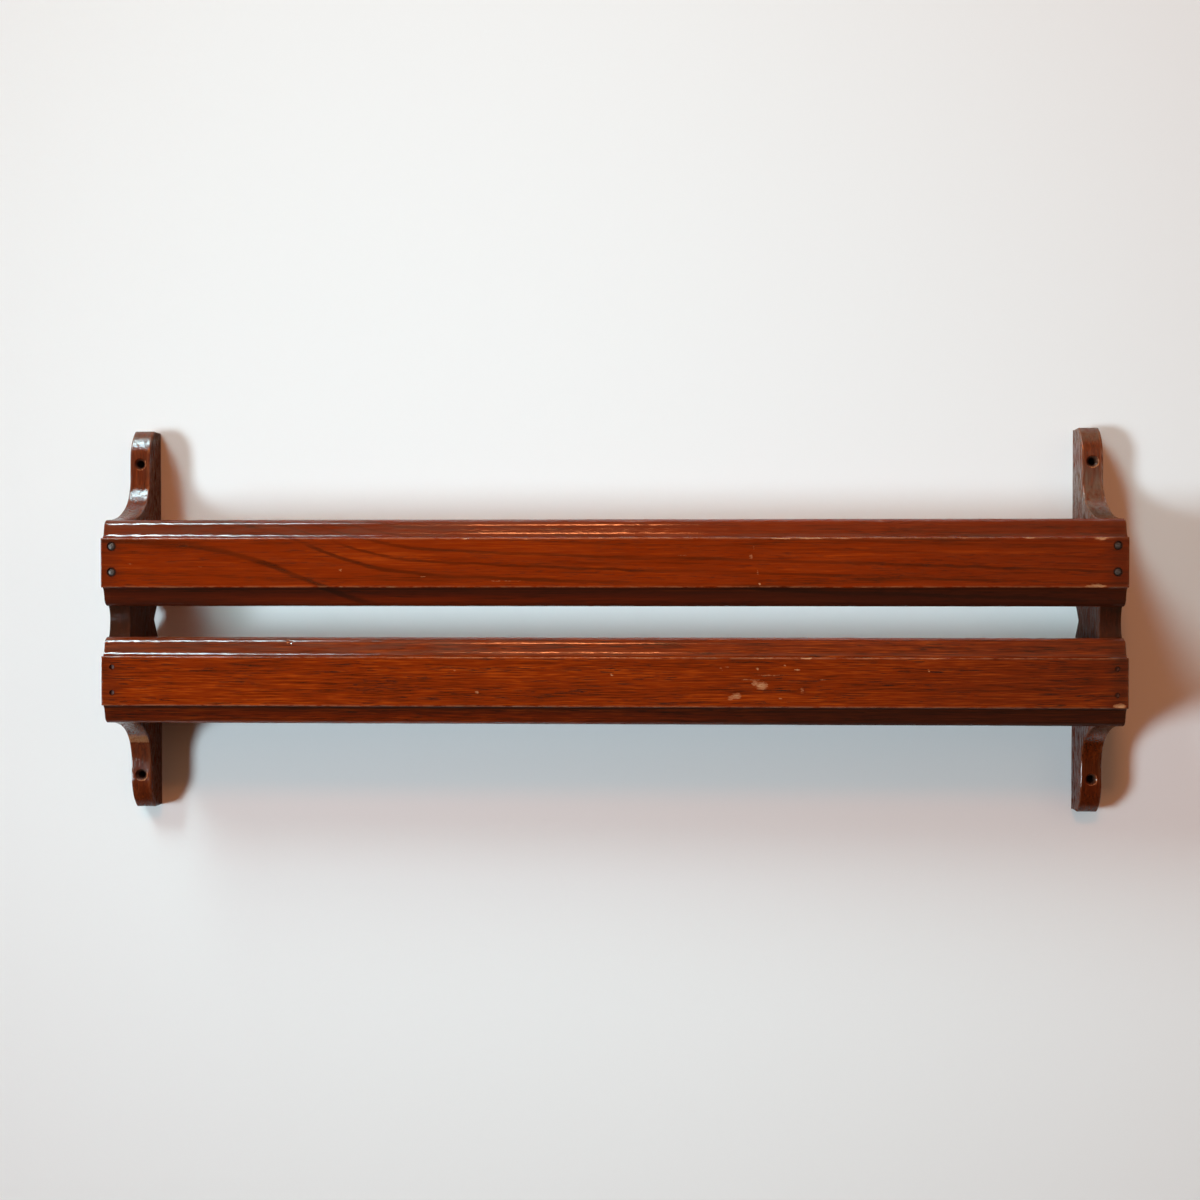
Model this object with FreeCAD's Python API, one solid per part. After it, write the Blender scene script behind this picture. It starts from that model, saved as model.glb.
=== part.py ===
import FreeCAD, Part
import math
import os

os.makedirs("parts", exist_ok=True)

# Wall plate rack, in millimetres.
#
# X runs along the rack to the right, Y points into the wall and Z points up. The wall is the
# plane Y = 0 and the rack stands off it towards -Y. The origin is the centre of the four wall
# screw holes. Shapes are drawn as (depth, height): depth is the distance out from the wall.

# ---- Overall -------------------------------------------------------------------------------
rack_width = 600.0            # over the outer faces of the two brackets
rail_gap = 18.4               # clear height between the two rails

# ---- Brackets: two sawn side boards, each the same above and below its middle ----------------
bracket_thickness = 12.7
bracket_depth = 55.0          # from the wall to the seat that the rails are nailed to
lobe_length = 57.9            # how far a bracket reaches past a rail, at top and bottom
lobe_depth = 19.5             # from the wall to the front of a lobe
lobe_end_flat = 7.0           # flat at the lobe's end, next to the wall
lobe_round_radius = 30.0      # rounding from that flat to the lobe's front
sweep_height = 22.6           # height of the hollow edge between the lobe and the rail
sweep_radius = 50.0
nose_radius = 5.0             # softens the corner where the hollow edge meets the lobe
seat_margin = 0.3             # seat left showing past a rail's outer edge
scoop_depth = 1.6             # shallow hollow in the front edge, between the rails
notch_depth = 13.3            # V notch in the middle of the back edge
notch_height = 43.0
bracket_arris_radius = 0.8

# ---- Wall screw holes: one through each lobe, for a countersunk wood screw -------------------
wall_hole_diameter = 4.5
wall_hole_inset = 21.5        # from the lobe's end to the hole's centre
countersink_diameter = 8.2
countersink_angle = 90.0

# ---- Rails: two moulded boards with a raised flat fascia -------------------------------------
rail_height = 51.4
rail_thickness = 12.0
fascia_height = 29.3
fascia_step = 1.6             # square step behind the fascia's edge, before the cove
cove_radius = 3.0
margin_fall = 1.8             # the margin slopes back this far, from the cove to the edge
edge_round_radius = 3.5
fascia_arris_radius = 0.5

# ---- Bottom board: what the plates stand on, behind the lower rail ---------------------------
board_thickness = 9.5
board_lift = 1.0              # its underside above the lower rail's bottom edge
board_wall_gap = 1.0          # between its back edge and the wall

# ---- Nails ----------------------------------------------------------------------------------
nail_pair_spacing = 15.2      # between the two nails at each end of a rail
upper_pair_lift = 2.1         # the pair's middle above the fascia's middle
lower_pair_lift = 0.7
round_head_diameter = 4.6     # round-headed nails, which show on the upper rail
round_head_height = 1.3
round_head_sink = 0.3
round_head_rim = 0.4          # rounding of the head's rim
lost_head_diameter = 2.6      # lost-head nails, sunk in the lower rail and the brackets
lost_head_height = 2.0
lost_head_sink = 0.9
lost_head_rim = 0.3
shank_diameter = 2.0
shank_length = 27.0           # below the head
point_length = 3.0
nail_clearance = 0.1          # on the diameter of a nail's hole and of its head's pocket
board_nail_setback = 14.0     # from the board's long edges to its nails

# ---- Worked out from the sizes above ---------------------------------------------------------
rail_inner = rail_gap / 2
rail_outer = rail_inner + rail_height
rail_middle = (rail_inner + rail_outer) / 2
half_height = rail_outer + lobe_length
outer_face = rack_width / 2
inner_face = outer_face - bracket_thickness
bracket_middle = (outer_face + inner_face) / 2
fascia_front = bracket_depth + rail_thickness
wall_hole_height = half_height - wall_hole_inset
board_bottom = -rail_outer + board_lift
board_middle = board_bottom + board_thickness / 2

X_AXIS = FreeCAD.Vector(1, 0, 0)
Y_AXIS = FreeCAD.Vector(0, 1, 0)
Z_AXIS = FreeCAD.Vector(0, 0, 1)
ORIGIN = FreeCAD.Vector(0, 0, 0)
SIDES = (-1, 1)               # left and right, or below and above
TOUCH = 1e-4                  # how near two points count as the same place


def at(depth, height, x=0.0):
    """The point this far out from the wall and this high."""
    return FreeCAD.Vector(x, -depth, height)


def line(start, end):
    """A straight edge."""
    return Part.LineSegment(start, end).toShape()


def arc(start, end, radius, towards):
    """A round edge from start to end that bulges to the side where the point towards lies."""
    chord = end - start
    middle = start + chord * 0.5
    sagitta = radius - math.sqrt(radius ** 2 - (chord.Length / 2) ** 2)
    aside = towards - middle
    along = chord * (aside.dot(chord) / chord.Length ** 2)
    outward = aside - along
    outward.normalize()
    return Part.Arc(start, middle + outward * sagitta, end).toShape()


def mirrored(shape, normal):
    """The shape's mirror image in the plane through the origin with this normal."""
    return shape.mirror(ORIGIN, normal)


def extruded(edges, start_x, end_x):
    """The solid whose section, drawn at X = 0, is the closed outline of these edges."""
    wire = Part.Wire(Part.__sortEdges__(edges))
    section = Part.Face(wire)
    section.translate(X_AXIS * start_x)
    return section.extrude(X_AXIS * (end_x - start_x))


def long_edges_at(solid, depth, height):
    """The solid's edges that run along X through this depth and height."""
    wanted = at(depth, height)
    found = []
    for edge in solid.Edges:
        ends = [FreeCAD.Vector(0, vertex.Y, vertex.Z) for vertex in edge.Vertexes]
        if len(ends) == 2 and all(wanted.distanceToPoint(end) < TOUCH for end in ends):
            found.append(edge)
    return found


# ---- Nails and their holes -------------------------------------------------------------------
# A nail is turned about the line that it is driven along. It is made head up at the origin and
# then placed: its head's crown is the point given, and its shank runs along direction.

def placed(shape, crown, direction):
    """The shape, turned from pointing down to pointing along direction and moved to crown."""
    result = shape.copy()
    turn = FreeCAD.Rotation(-Z_AXIS, direction)
    result.Placement = FreeCAD.Placement(crown, turn)
    return result


def nail(head_diameter, head_height, rim, crown, direction):
    """One nail with a rounded head rim, a round shank and a point."""
    head = Part.makeCylinder(head_diameter / 2, head_height, at(0, -head_height))
    rim_edges = [edge for edge in head.Edges if edge.BoundBox.ZMin > -TOUCH]
    head = head.makeFillet(rim, rim_edges)
    straight = shank_length - point_length
    shank_end = -head_height - straight
    shank = Part.makeCylinder(shank_diameter / 2, straight, at(0, shank_end))
    point = Part.makeCone(0, shank_diameter / 2, point_length, at(0, shank_end - point_length))
    return placed(head.fuse([shank, point]).removeSplitter(), crown, direction)


def nail_hole(head_diameter, head_height, sink, crown, direction):
    """What a nail takes out of the wood, with the pocket that its head is sunk in."""
    pocket_radius = (head_diameter + nail_clearance) / 2
    bore_radius = (shank_diameter + nail_clearance) / 2
    pocket = Part.makeCylinder(pocket_radius, head_height + sink, at(0, -head_height))
    bore = Part.makeCylinder(bore_radius, shank_length, at(0, -head_height - shank_length))
    return placed(pocket.fuse(bore), crown, direction)


def round_nail(crown, direction):
    return nail(round_head_diameter, round_head_height, round_head_rim, crown, direction)


def lost_nail(crown, direction):
    return nail(lost_head_diameter, lost_head_height, lost_head_rim, crown, direction)


def round_nail_hole(crown, direction):
    return nail_hole(round_head_diameter, round_head_height, round_head_sink, crown, direction)


def lost_nail_hole(crown, direction):
    return nail_hole(lost_head_diameter, lost_head_height, lost_head_sink, crown, direction)


def rail_nail_crowns(fascia_middle, lift, sink):
    """Where the four nails of a rail have their crowns: a pair over each bracket."""
    crowns = []
    for side in SIDES:
        for end in SIDES:
            height = fascia_middle + lift + end * nail_pair_spacing / 2
            crowns.append(at(fascia_front - sink, height, side * bracket_middle))
    return crowns


def board_nail_crowns(side):
    """Where the two nails on one bracket's outer face have their crowns."""
    crowns = []
    for depth in (board_wall_gap + board_nail_setback, bracket_depth - board_nail_setback):
        crowns.append(at(depth, board_middle, side * (outer_face - lost_head_sink)))
    return crowns


upper_crowns = rail_nail_crowns(rail_middle, upper_pair_lift, round_head_sink)
lower_crowns = rail_nail_crowns(-rail_middle, lower_pair_lift, lost_head_sink)
upper_holes = [round_nail_hole(crown, Y_AXIS) for crown in upper_crowns]
lower_holes = [lost_nail_hole(crown, Y_AXIS) for crown in lower_crowns]
board_nails = []
board_holes = []
for side in SIDES:
    for crown in board_nail_crowns(side):
        board_nails.append(lost_nail(crown, X_AXIS * -side))
        board_holes.append(lost_nail_hole(crown, X_AXIS * -side))


# ---- Brackets --------------------------------------------------------------------------------

def lobe_round_start():
    """Height at which the lobe's straight front ends and its rounding begins."""
    reach = lobe_end_flat - (lobe_depth - lobe_round_radius)
    return half_height - math.sqrt(lobe_round_radius ** 2 - reach ** 2)


def upper_bracket_edges():
    """The upper half of a bracket's outline, from the notch over the top to the scoop."""
    notch_apex = at(notch_depth, 0)
    notch_corner = at(0, notch_height / 2)
    back_corner = at(0, half_height)
    flat_end = at(lobe_end_flat, half_height)
    lobe_top = at(lobe_depth, lobe_round_start())
    lobe_foot = at(lobe_depth, rail_outer + sweep_height)
    seat_top = at(bracket_depth, rail_outer + seat_margin)
    seat_foot = at(bracket_depth, rail_inner)
    outside = at(lobe_depth + lobe_round_radius, half_height)
    inside = at(lobe_depth, rail_outer)
    return [
        line(notch_apex, notch_corner),
        line(notch_corner, back_corner),
        line(back_corner, flat_end),
        arc(flat_end, lobe_top, lobe_round_radius, outside),
        line(lobe_top, lobe_foot),
        arc(lobe_foot, seat_top, sweep_radius, inside),
        line(seat_top, seat_foot),
    ]


def wall_hole(side, end):
    """A through hole with a countersink, on the middle of the bracket's thickness."""
    radius = wall_hole_diameter / 2
    sink_radius = countersink_diameter / 2
    sink_depth = (sink_radius - radius) / math.tan(math.radians(countersink_angle / 2))
    mouth = at(lobe_depth, end * wall_hole_height, side * bracket_middle)
    bore = Part.makeCylinder(radius, lobe_depth, mouth, Y_AXIS)
    sink = Part.makeCone(sink_radius, radius, sink_depth, mouth, Y_AXIS)
    return bore.fuse(sink)


def soften_arrises(solid):
    """Round the long edges of both lobes, from the wall out to the seat, on both faces."""
    sweep_end = rail_outer + seat_margin
    chosen = []
    for edge in solid.Edges:
        box = edge.BoundBox
        on_a_face = box.XLength < TOUCH
        past_the_seat = min(abs(box.ZMin), abs(box.ZMax)) > sweep_end - TOUCH
        off_the_wall = box.YMin < -TOUCH
        if on_a_face and past_the_seat and off_the_wall:
            chosen.append(edge)
    return solid.makeFillet(bracket_arris_radius, chosen)


def bracket(side):
    """One bracket, on the left (side -1) or the right (side 1)."""
    upper = upper_bracket_edges()
    lower = [mirrored(edge, Z_AXIS) for edge in upper]
    scoop_middle = at(bracket_depth - scoop_depth, 0)
    scoop = Part.Arc(at(bracket_depth, rail_inner), scoop_middle, at(bracket_depth, -rail_inner))
    edges = upper + [scoop.toShape()] + lower
    start_x, end_x = sorted((side * inner_face, side * outer_face))
    body = extruded(edges, start_x, end_x)
    noses = []
    for end in SIDES:
        noses += long_edges_at(body, lobe_depth, end * (rail_outer + sweep_height))
    body = soften_arrises(body.makeFillet(nose_radius, noses))
    holes = [wall_hole(side, end) for end in SIDES]
    return body.cut(holes + upper_holes + lower_holes + board_holes)


# ---- Rails -----------------------------------------------------------------------------------

def rail_margin_edges():
    """A rail's outline from the middle of its back over one edge to the fascia's arris."""
    top = rail_height / 2
    arris = fascia_height / 2
    cove_foot = rail_thickness - fascia_step - cove_radius
    edge_front = cove_foot - margin_fall
    back_middle = at(0, 0)
    back_top = at(0, top)
    round_top = at(edge_front - edge_round_radius, top)
    round_foot = at(edge_front, top - edge_round_radius)
    cove_outer = at(cove_foot, arris + cove_radius)
    cove_inner = at(cove_foot + cove_radius, arris)
    fascia_edge = at(rail_thickness, arris)
    fascia_middle = at(rail_thickness, 0)
    return [
        line(back_middle, back_top),
        line(back_top, round_top),
        arc(round_top, round_foot, edge_round_radius, at(edge_front, top)),
        line(round_foot, cove_outer),
        arc(cove_outer, cove_inner, cove_radius, at(cove_foot, arris)),
        line(cove_inner, fascia_edge),
        line(fascia_edge, fascia_middle),
    ]


def rail(middle_height, holes):
    """One moulded rail, flush with the outer faces of the brackets."""
    upper = rail_margin_edges()
    lower = [mirrored(edge, Z_AXIS) for edge in upper]
    body = extruded(upper + lower, -outer_face, outer_face).removeSplitter()
    arrises = []
    for end in SIDES:
        arrises += long_edges_at(body, rail_thickness, end * fascia_height / 2)
    body = body.makeFillet(fascia_arris_radius, arrises)
    body.translate(at(bracket_depth, middle_height))
    return body.cut(holes)


# ---- Bottom board ----------------------------------------------------------------------------

def bottom_board():
    """The plain board between the brackets, up against the back of the lower rail."""
    depth = bracket_depth - board_wall_gap
    corner = at(bracket_depth, board_bottom, -inner_face)
    body = Part.makeBox(2 * inner_face, depth, board_thickness, corner)
    return body.cut(board_holes)


# ---- Every piece, one file each --------------------------------------------------------------
pieces = {
    "left_bracket": bracket(-1),
    "right_bracket": bracket(1),
    "upper_rail": rail(rail_middle, upper_holes),
    "lower_rail": rail(-rail_middle, lower_holes),
    "bottom_board": bottom_board(),
    "upper_rail_nails": Part.makeCompound([round_nail(crown, Y_AXIS) for crown in upper_crowns]),
    "lower_rail_nails": Part.makeCompound([lost_nail(crown, Y_AXIS) for crown in lower_crowns]),
    "bottom_board_nails": Part.makeCompound(board_nails),
}

for name, shape in pieces.items():
    shape.exportStep("parts/" + name + ".step")
    box = shape.BoundBox
    size = "%.1f x %.1f x %.1f" % (box.XLength, box.YLength, box.ZLength)
    print(name, len(shape.Solids), "solid(s),", size, "mm, volume", round(shape.Volume), "mm3")
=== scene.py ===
# %% [markdown]
# # A wall plate rack
#
# The rack is five pieces of stained and varnished wood, held by twelve nails: two side brackets
# with a screw hole in each lobe, two moulded rails across the front, and a board behind the lower
# rail for plates to stand on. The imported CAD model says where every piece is. This lesson makes a
# finer piece of wood around each one: corners softened by hand, edges rubbed pale, chips, and
# varnish that gathers the light. Sizes are in metres, and the wall is the plane Y = 0.

# %% Load the fixed frame
import math

import bpy
import numpy as np
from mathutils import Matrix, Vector


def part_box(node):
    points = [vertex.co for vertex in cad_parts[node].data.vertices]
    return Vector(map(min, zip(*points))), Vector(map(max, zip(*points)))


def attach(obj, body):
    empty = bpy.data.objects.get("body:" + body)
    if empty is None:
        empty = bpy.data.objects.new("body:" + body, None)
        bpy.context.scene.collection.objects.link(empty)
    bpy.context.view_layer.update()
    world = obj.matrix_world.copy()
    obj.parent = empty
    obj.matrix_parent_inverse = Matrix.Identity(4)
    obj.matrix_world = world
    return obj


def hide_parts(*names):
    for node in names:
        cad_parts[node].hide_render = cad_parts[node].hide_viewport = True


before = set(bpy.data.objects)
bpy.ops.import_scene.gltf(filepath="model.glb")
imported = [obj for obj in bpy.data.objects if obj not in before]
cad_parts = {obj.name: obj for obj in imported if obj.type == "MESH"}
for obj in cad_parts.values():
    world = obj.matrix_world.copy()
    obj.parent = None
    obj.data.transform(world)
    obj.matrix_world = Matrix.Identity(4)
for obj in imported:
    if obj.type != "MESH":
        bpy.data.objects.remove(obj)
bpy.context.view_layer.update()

MM = 0.001

# %% [markdown]
# ## Sizes that the pieces share
#
# A workshop drawing names each size once, and so does this cell. Most sizes come from the boxes
# of the CAD nodes, so that a piece made here sits exactly where its node sits. The rest are the
# steps of the mouldings, which a box does not show.

# %% Read the sizes
rail_box_low, rail_box_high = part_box("upper_rail")
bracket_box_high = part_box("left_bracket")[1]
board_box_low, board_box_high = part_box("bottom_board")
RACK_END = rail_box_high.x
BRACKET_INNER = -bracket_box_high.x
BRACKET_MIDDLE = (RACK_END + BRACKET_INNER) / 2
SEAT_DEPTH = -rail_box_high.y
RAIL_THICKNESS = rail_box_high.y - rail_box_low.y
RAIL_HALF_HEIGHT = (rail_box_high.z - rail_box_low.z) / 2
RAIL_MIDDLE = (rail_box_high.z + rail_box_low.z) / 2
RACK_TOP = bracket_box_high.z
FASCIA_FRONT = SEAT_DEPTH + RAIL_THICKNESS
print("rails", round(2 * RACK_END / MM, 1), "mm long, middles at", round(RAIL_MIDDLE / MM, 1), "mm")

# %% [markdown]
# ## Surfaces from rings
#
# A rail, a board and a bracket are all made the same way: one closed loop of points is carried
# along the piece, and each loop is joined to the next by a band of four-sided faces. Blender
# could do this with its extrude tools, but a loop held in a numpy array can be changed all along
# its way in one line, which is how the wear gets into the shape later on.

# %% Turn rings of points into a closed mesh
def ring_mesh(name, rings):
    """A closed surface: rings[i, j] is point j of loop i; loops are joined in order and the
    first and last are each closed by one flat face."""
    count, size = rings.shape[:2]
    here = np.arange(count * size).reshape(count, size)
    after = np.roll(here, -1, axis=1)
    bands = np.stack([here[:-1], here[1:], after[1:], after[:-1]], axis=-1).reshape(-1, 4)
    faces = bands.tolist() + [here[0].tolist(), here[-1][::-1].tolist()]
    mesh = bpy.data.meshes.new(name)
    mesh.from_pydata(rings.reshape(-1, 3).tolist(), [], faces)
    mesh.validate()
    return mesh


def add_piece(name, mesh):
    """An object at the origin that shows the mesh."""
    piece = bpy.data.objects.new(name, mesh)
    bpy.context.scene.collection.objects.link(piece)
    return piece


def points_of(mesh):
    """The places of the mesh's points, one row each."""
    places = np.zeros(len(mesh.vertices) * 3)
    mesh.vertices.foreach_get("co", places)
    return places.reshape(-1, 3)


def volume_of(mesh):
    """Signed volume: the sum over triangles of a . (b x c) / 6, above zero if faces point out."""
    mesh.calc_loop_triangles()
    corners = points_of(mesh)
    triangles = np.zeros(len(mesh.loop_triangles) * 3, dtype=np.int64)
    mesh.loop_triangles.foreach_get("vertices", triangles)
    a, b, c = (corners[triangles.reshape(-1, 3)[:, k]] for k in range(3))
    return float(np.einsum("ij,ij->i", a, np.cross(b, c)).sum() / 6)


def face_outwards(mesh):
    """Turns every face round if the closed surface is inside out."""
    if volume_of(mesh) < 0:
        mesh.flip_normals()


def paint(mesh, **layers):
    """Keeps one number for each point of the mesh under each name, for a material to read."""
    for name, values in layers.items():
        layer = mesh.attributes.new(name, "FLOAT", "POINT")
        layer.data.foreach_set("value", values.astype(np.float32).ravel())


print("surface tools are ready")

# %% [markdown]
# ## Lines and arcs of a profile
#
# A moulding plane cuts a profile of straight runs, hollows and rounds. Here a profile is a list of
# such runs in two numbers, depth out from a face and height above a middle. Corners get several
# points so that light turns round them softly, as it does on real wood.

# %% Draw straight runs and arcs
def run(start, end, count):
    """Points on the straight line from start to end, evenly spaced, both ends kept."""
    return np.linspace(start, end, count)


def arc(centre, radius, from_angle, to_angle, count):
    """Points centre + radius (cos a, sin a), with a going evenly between two angles in degrees."""
    angle = np.radians(np.linspace(from_angle, to_angle, count))
    return np.array(centre) + radius * np.stack([np.cos(angle), np.sin(angle)], axis=1)


def joined(runs):
    """The runs as one line of points, with points that repeat a neighbour left out."""
    points = np.concatenate(runs)
    gaps = np.linalg.norm(np.diff(points, axis=0), axis=1)
    return points[np.concatenate([[True], gaps > 1e-7])]


def mirrored_loop(half):
    """A half outline and its mirror image below the middle, as one closed loop."""
    below = half[::-1] * [1, -1]
    return np.concatenate([half[:-1], below[:-1]])


def outward(points, closed):
    """Unit normals of a line of points: its direction there, turned a quarter to the outside."""
    if closed:
        along = np.roll(points, -1, axis=0) - np.roll(points, 1, axis=0)
    else:
        along = np.gradient(points, axis=0)
    along /= np.linalg.norm(along, axis=1, keepdims=True)
    return np.stack([-along[:, 1], along[:, 0]], axis=1)


print("profile tools are ready")

# %% [markdown]
# ## The rail's moulding
#
# Each rail was run along its edges with a plane: a rounded outer edge, a sloping margin, a small
# hollow called a cove, and a square step up to the raised flat face, the fascia. The loop starts
# at the middle of the back and goes up over the top edge, down the front and back along the
# bottom. The corners are rounder than the drawing, because hands have rubbed them for years.

# %% Draw the rail's outline
FASCIA_HALF = 14.65 * MM
STEP = 1.6 * MM
COVE_DEPTH = 3.0 * MM
COVE_HEIGHT = 3.4 * MM
COVE_RADIUS = 5.3 * MM
COVE_TURN = (10, 55)
MARGIN_FALL = 0.6 * MM
EDGE_ROUND = 5.0 * MM
BACK_ARRIS = 0.4 * MM
FASCIA_ARRIS = 0.6 * MM

cove_foot = RAIL_THICKNESS - STEP - COVE_DEPTH
cove_centre = np.array([cove_foot, FASCIA_HALF + COVE_HEIGHT]) + COVE_RADIUS * np.array(
    [math.cos(math.radians(COVE_TURN[0])), math.sin(math.radians(COVE_TURN[0]))])
cove = arc(cove_centre, COVE_RADIUS, 180 + COVE_TURN[0], 180 + COVE_TURN[1], 11)
edge_front = cove_foot - MARGIN_FALL
top = RAIL_HALF_HEIGHT
rail_half = joined([
    run((0, 0), (0, top - BACK_ARRIS), 14),
    arc((BACK_ARRIS, top - BACK_ARRIS), BACK_ARRIS, 180, 90, 5),
    run((BACK_ARRIS, top), (edge_front - EDGE_ROUND, top), 4),
    arc((edge_front - EDGE_ROUND, top - EDGE_ROUND), EDGE_ROUND, 90, 0, 14),
    run((edge_front, top - EDGE_ROUND), cove[0], 6),
    cove,
    run(cove[-1], (RAIL_THICKNESS - FASCIA_ARRIS, FASCIA_HALF), 5),
    arc((RAIL_THICKNESS - FASCIA_ARRIS, FASCIA_HALF - FASCIA_ARRIS), FASCIA_ARRIS, 90, 0, 6),
    run((RAIL_THICKNESS, FASCIA_HALF - FASCIA_ARRIS), (RAIL_THICKNESS, 0), 18),
])
rail_loop = mirrored_loop(rail_half)
rail_loop_normals = outward(rail_loop, closed=True)
ARRIS_POINT = np.array([RAIL_THICKNESS - 0.2 * MM, FASCIA_HALF - 0.2 * MM])
print("rail outline:", len(rail_loop), "points")

# %% [markdown]
# ## Wear in the shape
#
# Old varnished wood is never quite true. Three things are pushed into the surface, always
# inwards, so that the rack keeps its size: a slow unevenness left by the plane, small chips along
# the sharp edges, and shallow dents. A chip is an oval hollow with a soft rim. Each is written
# with its place along the rail, its place on the outline, and its size.

# %% Describe dents and chips
def oval(along, across, length, width):
    """1 in the middle of an oval and 0 at its rim: 1 - (2a/length)^2 - (2b/width)^2."""
    return np.clip(1 - (2 * along / length) ** 2 - (2 * across / width) ** 2, 0, 1)


def bell(distance, reach):
    """1 at no distance, and less further off: exp(-(distance / reach)^2)."""
    return np.exp(-(distance / reach) ** 2)


def slow_waves(places, seed, size, shortest, longest):
    """Uneven height from 0 to size: five sine waves added up, of lengths that the seed picks."""
    draw = np.random.default_rng(seed)
    lengths = draw.uniform(shortest, longest, 5)
    starts = draw.uniform(0, 2 * math.pi, 5)
    waves = np.sin(2 * math.pi * places[..., None] / lengths + starts)
    return size * np.clip(0.5 + waves.mean(axis=-1), 0, 1)


def smooth_step(values, low, high):
    """0 below low, 1 above high, and an S-shaped rise between them."""
    share = np.clip((values - low) / (high - low), 0, 1)
    return share * share * (3 - 2 * share)


print("wear tools are ready")

# %% [markdown]
# ## Where a rail is rubbed, where it is dirty, and where shade and sheen are painted
#
# Hands rub stain thin on the edges that stand out, and dirt stays in the hollows that a cloth misses.
# The faces that look down under the fascia and the lower coves are also painted darker as shade, the
# right end is painted darker where the light falls off, and the upper margin and cove get a painted
# greyish sheen. Each of these is a smooth number between 0 and 1 for every point of the surface,
# worked out from how far the point is from an edge or a hollow. The materials read the numbers later.

# %% Rub the edges
ARRIS_REACH = 0.5 * MM
TOP_EDGE_DEPTH = 1.2 * MM
TOP_EDGE_DROP = 0.3 * MM
TOP_REACH = 1.5 * MM
END_REACH = 0.6 * MM
END_WEAR = 0.6


def rail_rubbing(along, depth, height, from_end, front):
    """Bell curves of the distance to the fascia's arris, to the top edge and to the ends, added."""
    to_arris = np.hypot(depth - ARRIS_POINT[0], np.abs(height) - ARRIS_POINT[1])
    to_top = np.hypot(depth - TOP_EDGE_DEPTH, np.abs(height) - RAIL_HALF_HEIGHT + TOP_EDGE_DROP)
    top_wear = 0.5 - 0.25 * smooth_step(along, 0.0, 0.15)
    rubbed = bell(to_arris, ARRIS_REACH) + top_wear * bell(to_top, TOP_REACH)
    return np.clip(rubbed + END_WEAR * bell(from_end, END_REACH) * front, 0, 1)


print("rubbing reaches", round(ARRIS_REACH / MM, 1), "mm from an arris")

# %% Lay the dirt and the painted shade, and the dull film with its painted sheen
COVE_MARK_DEPTH = 8.4 * MM
COVE_MARK_HEIGHT = 15.6 * MM
COVE_MARK_REACH = 1.7 * MM
UNDER_GRIME_AND_SHADE_UPPER = 0.86
UNDER_GRIME_AND_SHADE_LOWER = 0.6
UNDER_GRIME_AND_SHADE_RIGHT = 0.98


def rail_dirt_and_shade(along, depth, height, from_end, front, is_upper):
    """Two arrays. The first is the most of: dirt in the coves, with painted shade in the lower ones;
    painted shade with some dirt on the faces under the fascia, lighter in a low band on the left and
    darkest at the right; dirt on the handled ends, with painted shade growing towards the right end;
    and dirt on the upper margin, also darker to the right. The second is a dull film with a painted
    greyish sheen on the upper margin and in its cove."""
    to_cove = np.hypot(depth - COVE_MARK_DEPTH, np.abs(height) - COVE_MARK_HEIGHT)
    in_cove = bell(to_cove, COVE_MARK_REACH)
    # Dirt in both coves; the lower ones, which face down, also get painted shade.
    cove_grime_and_shade = in_cove * np.where(height < 0, 1.0, 0.35)

    # Painted shade, with some dirt, on the faces under the fascia: lighter in a low band on the left,
    # where the lower margin faces the light, and darkest towards the right.
    lit_lower_band = 0.43 * smooth_step(-height, 18 * MM, 22 * MM) * smooth_step(along, -0.27, -0.12)
    under_grime_and_shade = (UNDER_GRIME_AND_SHADE_UPPER if is_upper else UNDER_GRIME_AND_SHADE_LOWER) * (1 - lit_lower_band)
    under_grime_and_shade = under_grime_and_shade + (UNDER_GRIME_AND_SHADE_RIGHT - under_grime_and_shade) * smooth_step(along, -0.1, 0.15)
    under_grime_and_shade = under_grime_and_shade * smooth_step(-height, 15 * MM, 17 * MM) * front

    # Darker towards the right end: painted shade where the light falls off. The ends close by are
    # darkened as dirt.
    towards_right = smooth_step(along, 0.12, 0.29)
    end_grime_and_right_shade = 0.34 * (1 - smooth_step(from_end, 4 * MM, 17 * MM)) + 0.3 * towards_right
    if not is_upper:
        end_grime_and_right_shade = end_grime_and_right_shade + 0.1 * smooth_step(along, -0.1, 0.16)

    on_margin = smooth_step(height, 15 * MM, 16 * MM) * front
    # Dirt on the upper margin, less on the left, with painted shade towards the right.
    margin_grime_and_shade = 0.4 - 0.14 * smooth_step(along, -0.25, -0.15) + 0.24 * towards_right
    kinds = [cove_grime_and_shade, under_grime_and_shade, end_grime_and_right_shade * front, margin_grime_and_shade * on_margin]
    # A dull film with a painted greyish sheen on the upper margin and in its cove, less towards the
    # right.
    margin_film = 0.40 - 0.32 * smooth_step(along, -0.15, 0.10)
    return np.max(kinds, axis=0), on_margin * np.maximum(margin_film, 0.35 * in_cove)


# The cove marks are dirt, with painted shade in the lower coves.
print("dirt lies", round(COVE_MARK_HEIGHT / MM, 1), "mm above and below a rail's middle")

# %% [markdown]
# ## One rail as a surface
#
# The surface has two parameters: how far along the rail, and how far round the outline. Near the
# ends, where the nails are, the loops lie closer together. The last few loops at each end shrink
# inwards along a quarter circle, which breaks the sharp end corner as sandpaper does.

# %% Space the loops along the rail
END_ARRIS = 0.35 * MM
CLOSE_LOOPS = 13 * MM
MIDDLE_LOOPS = 500


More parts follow.
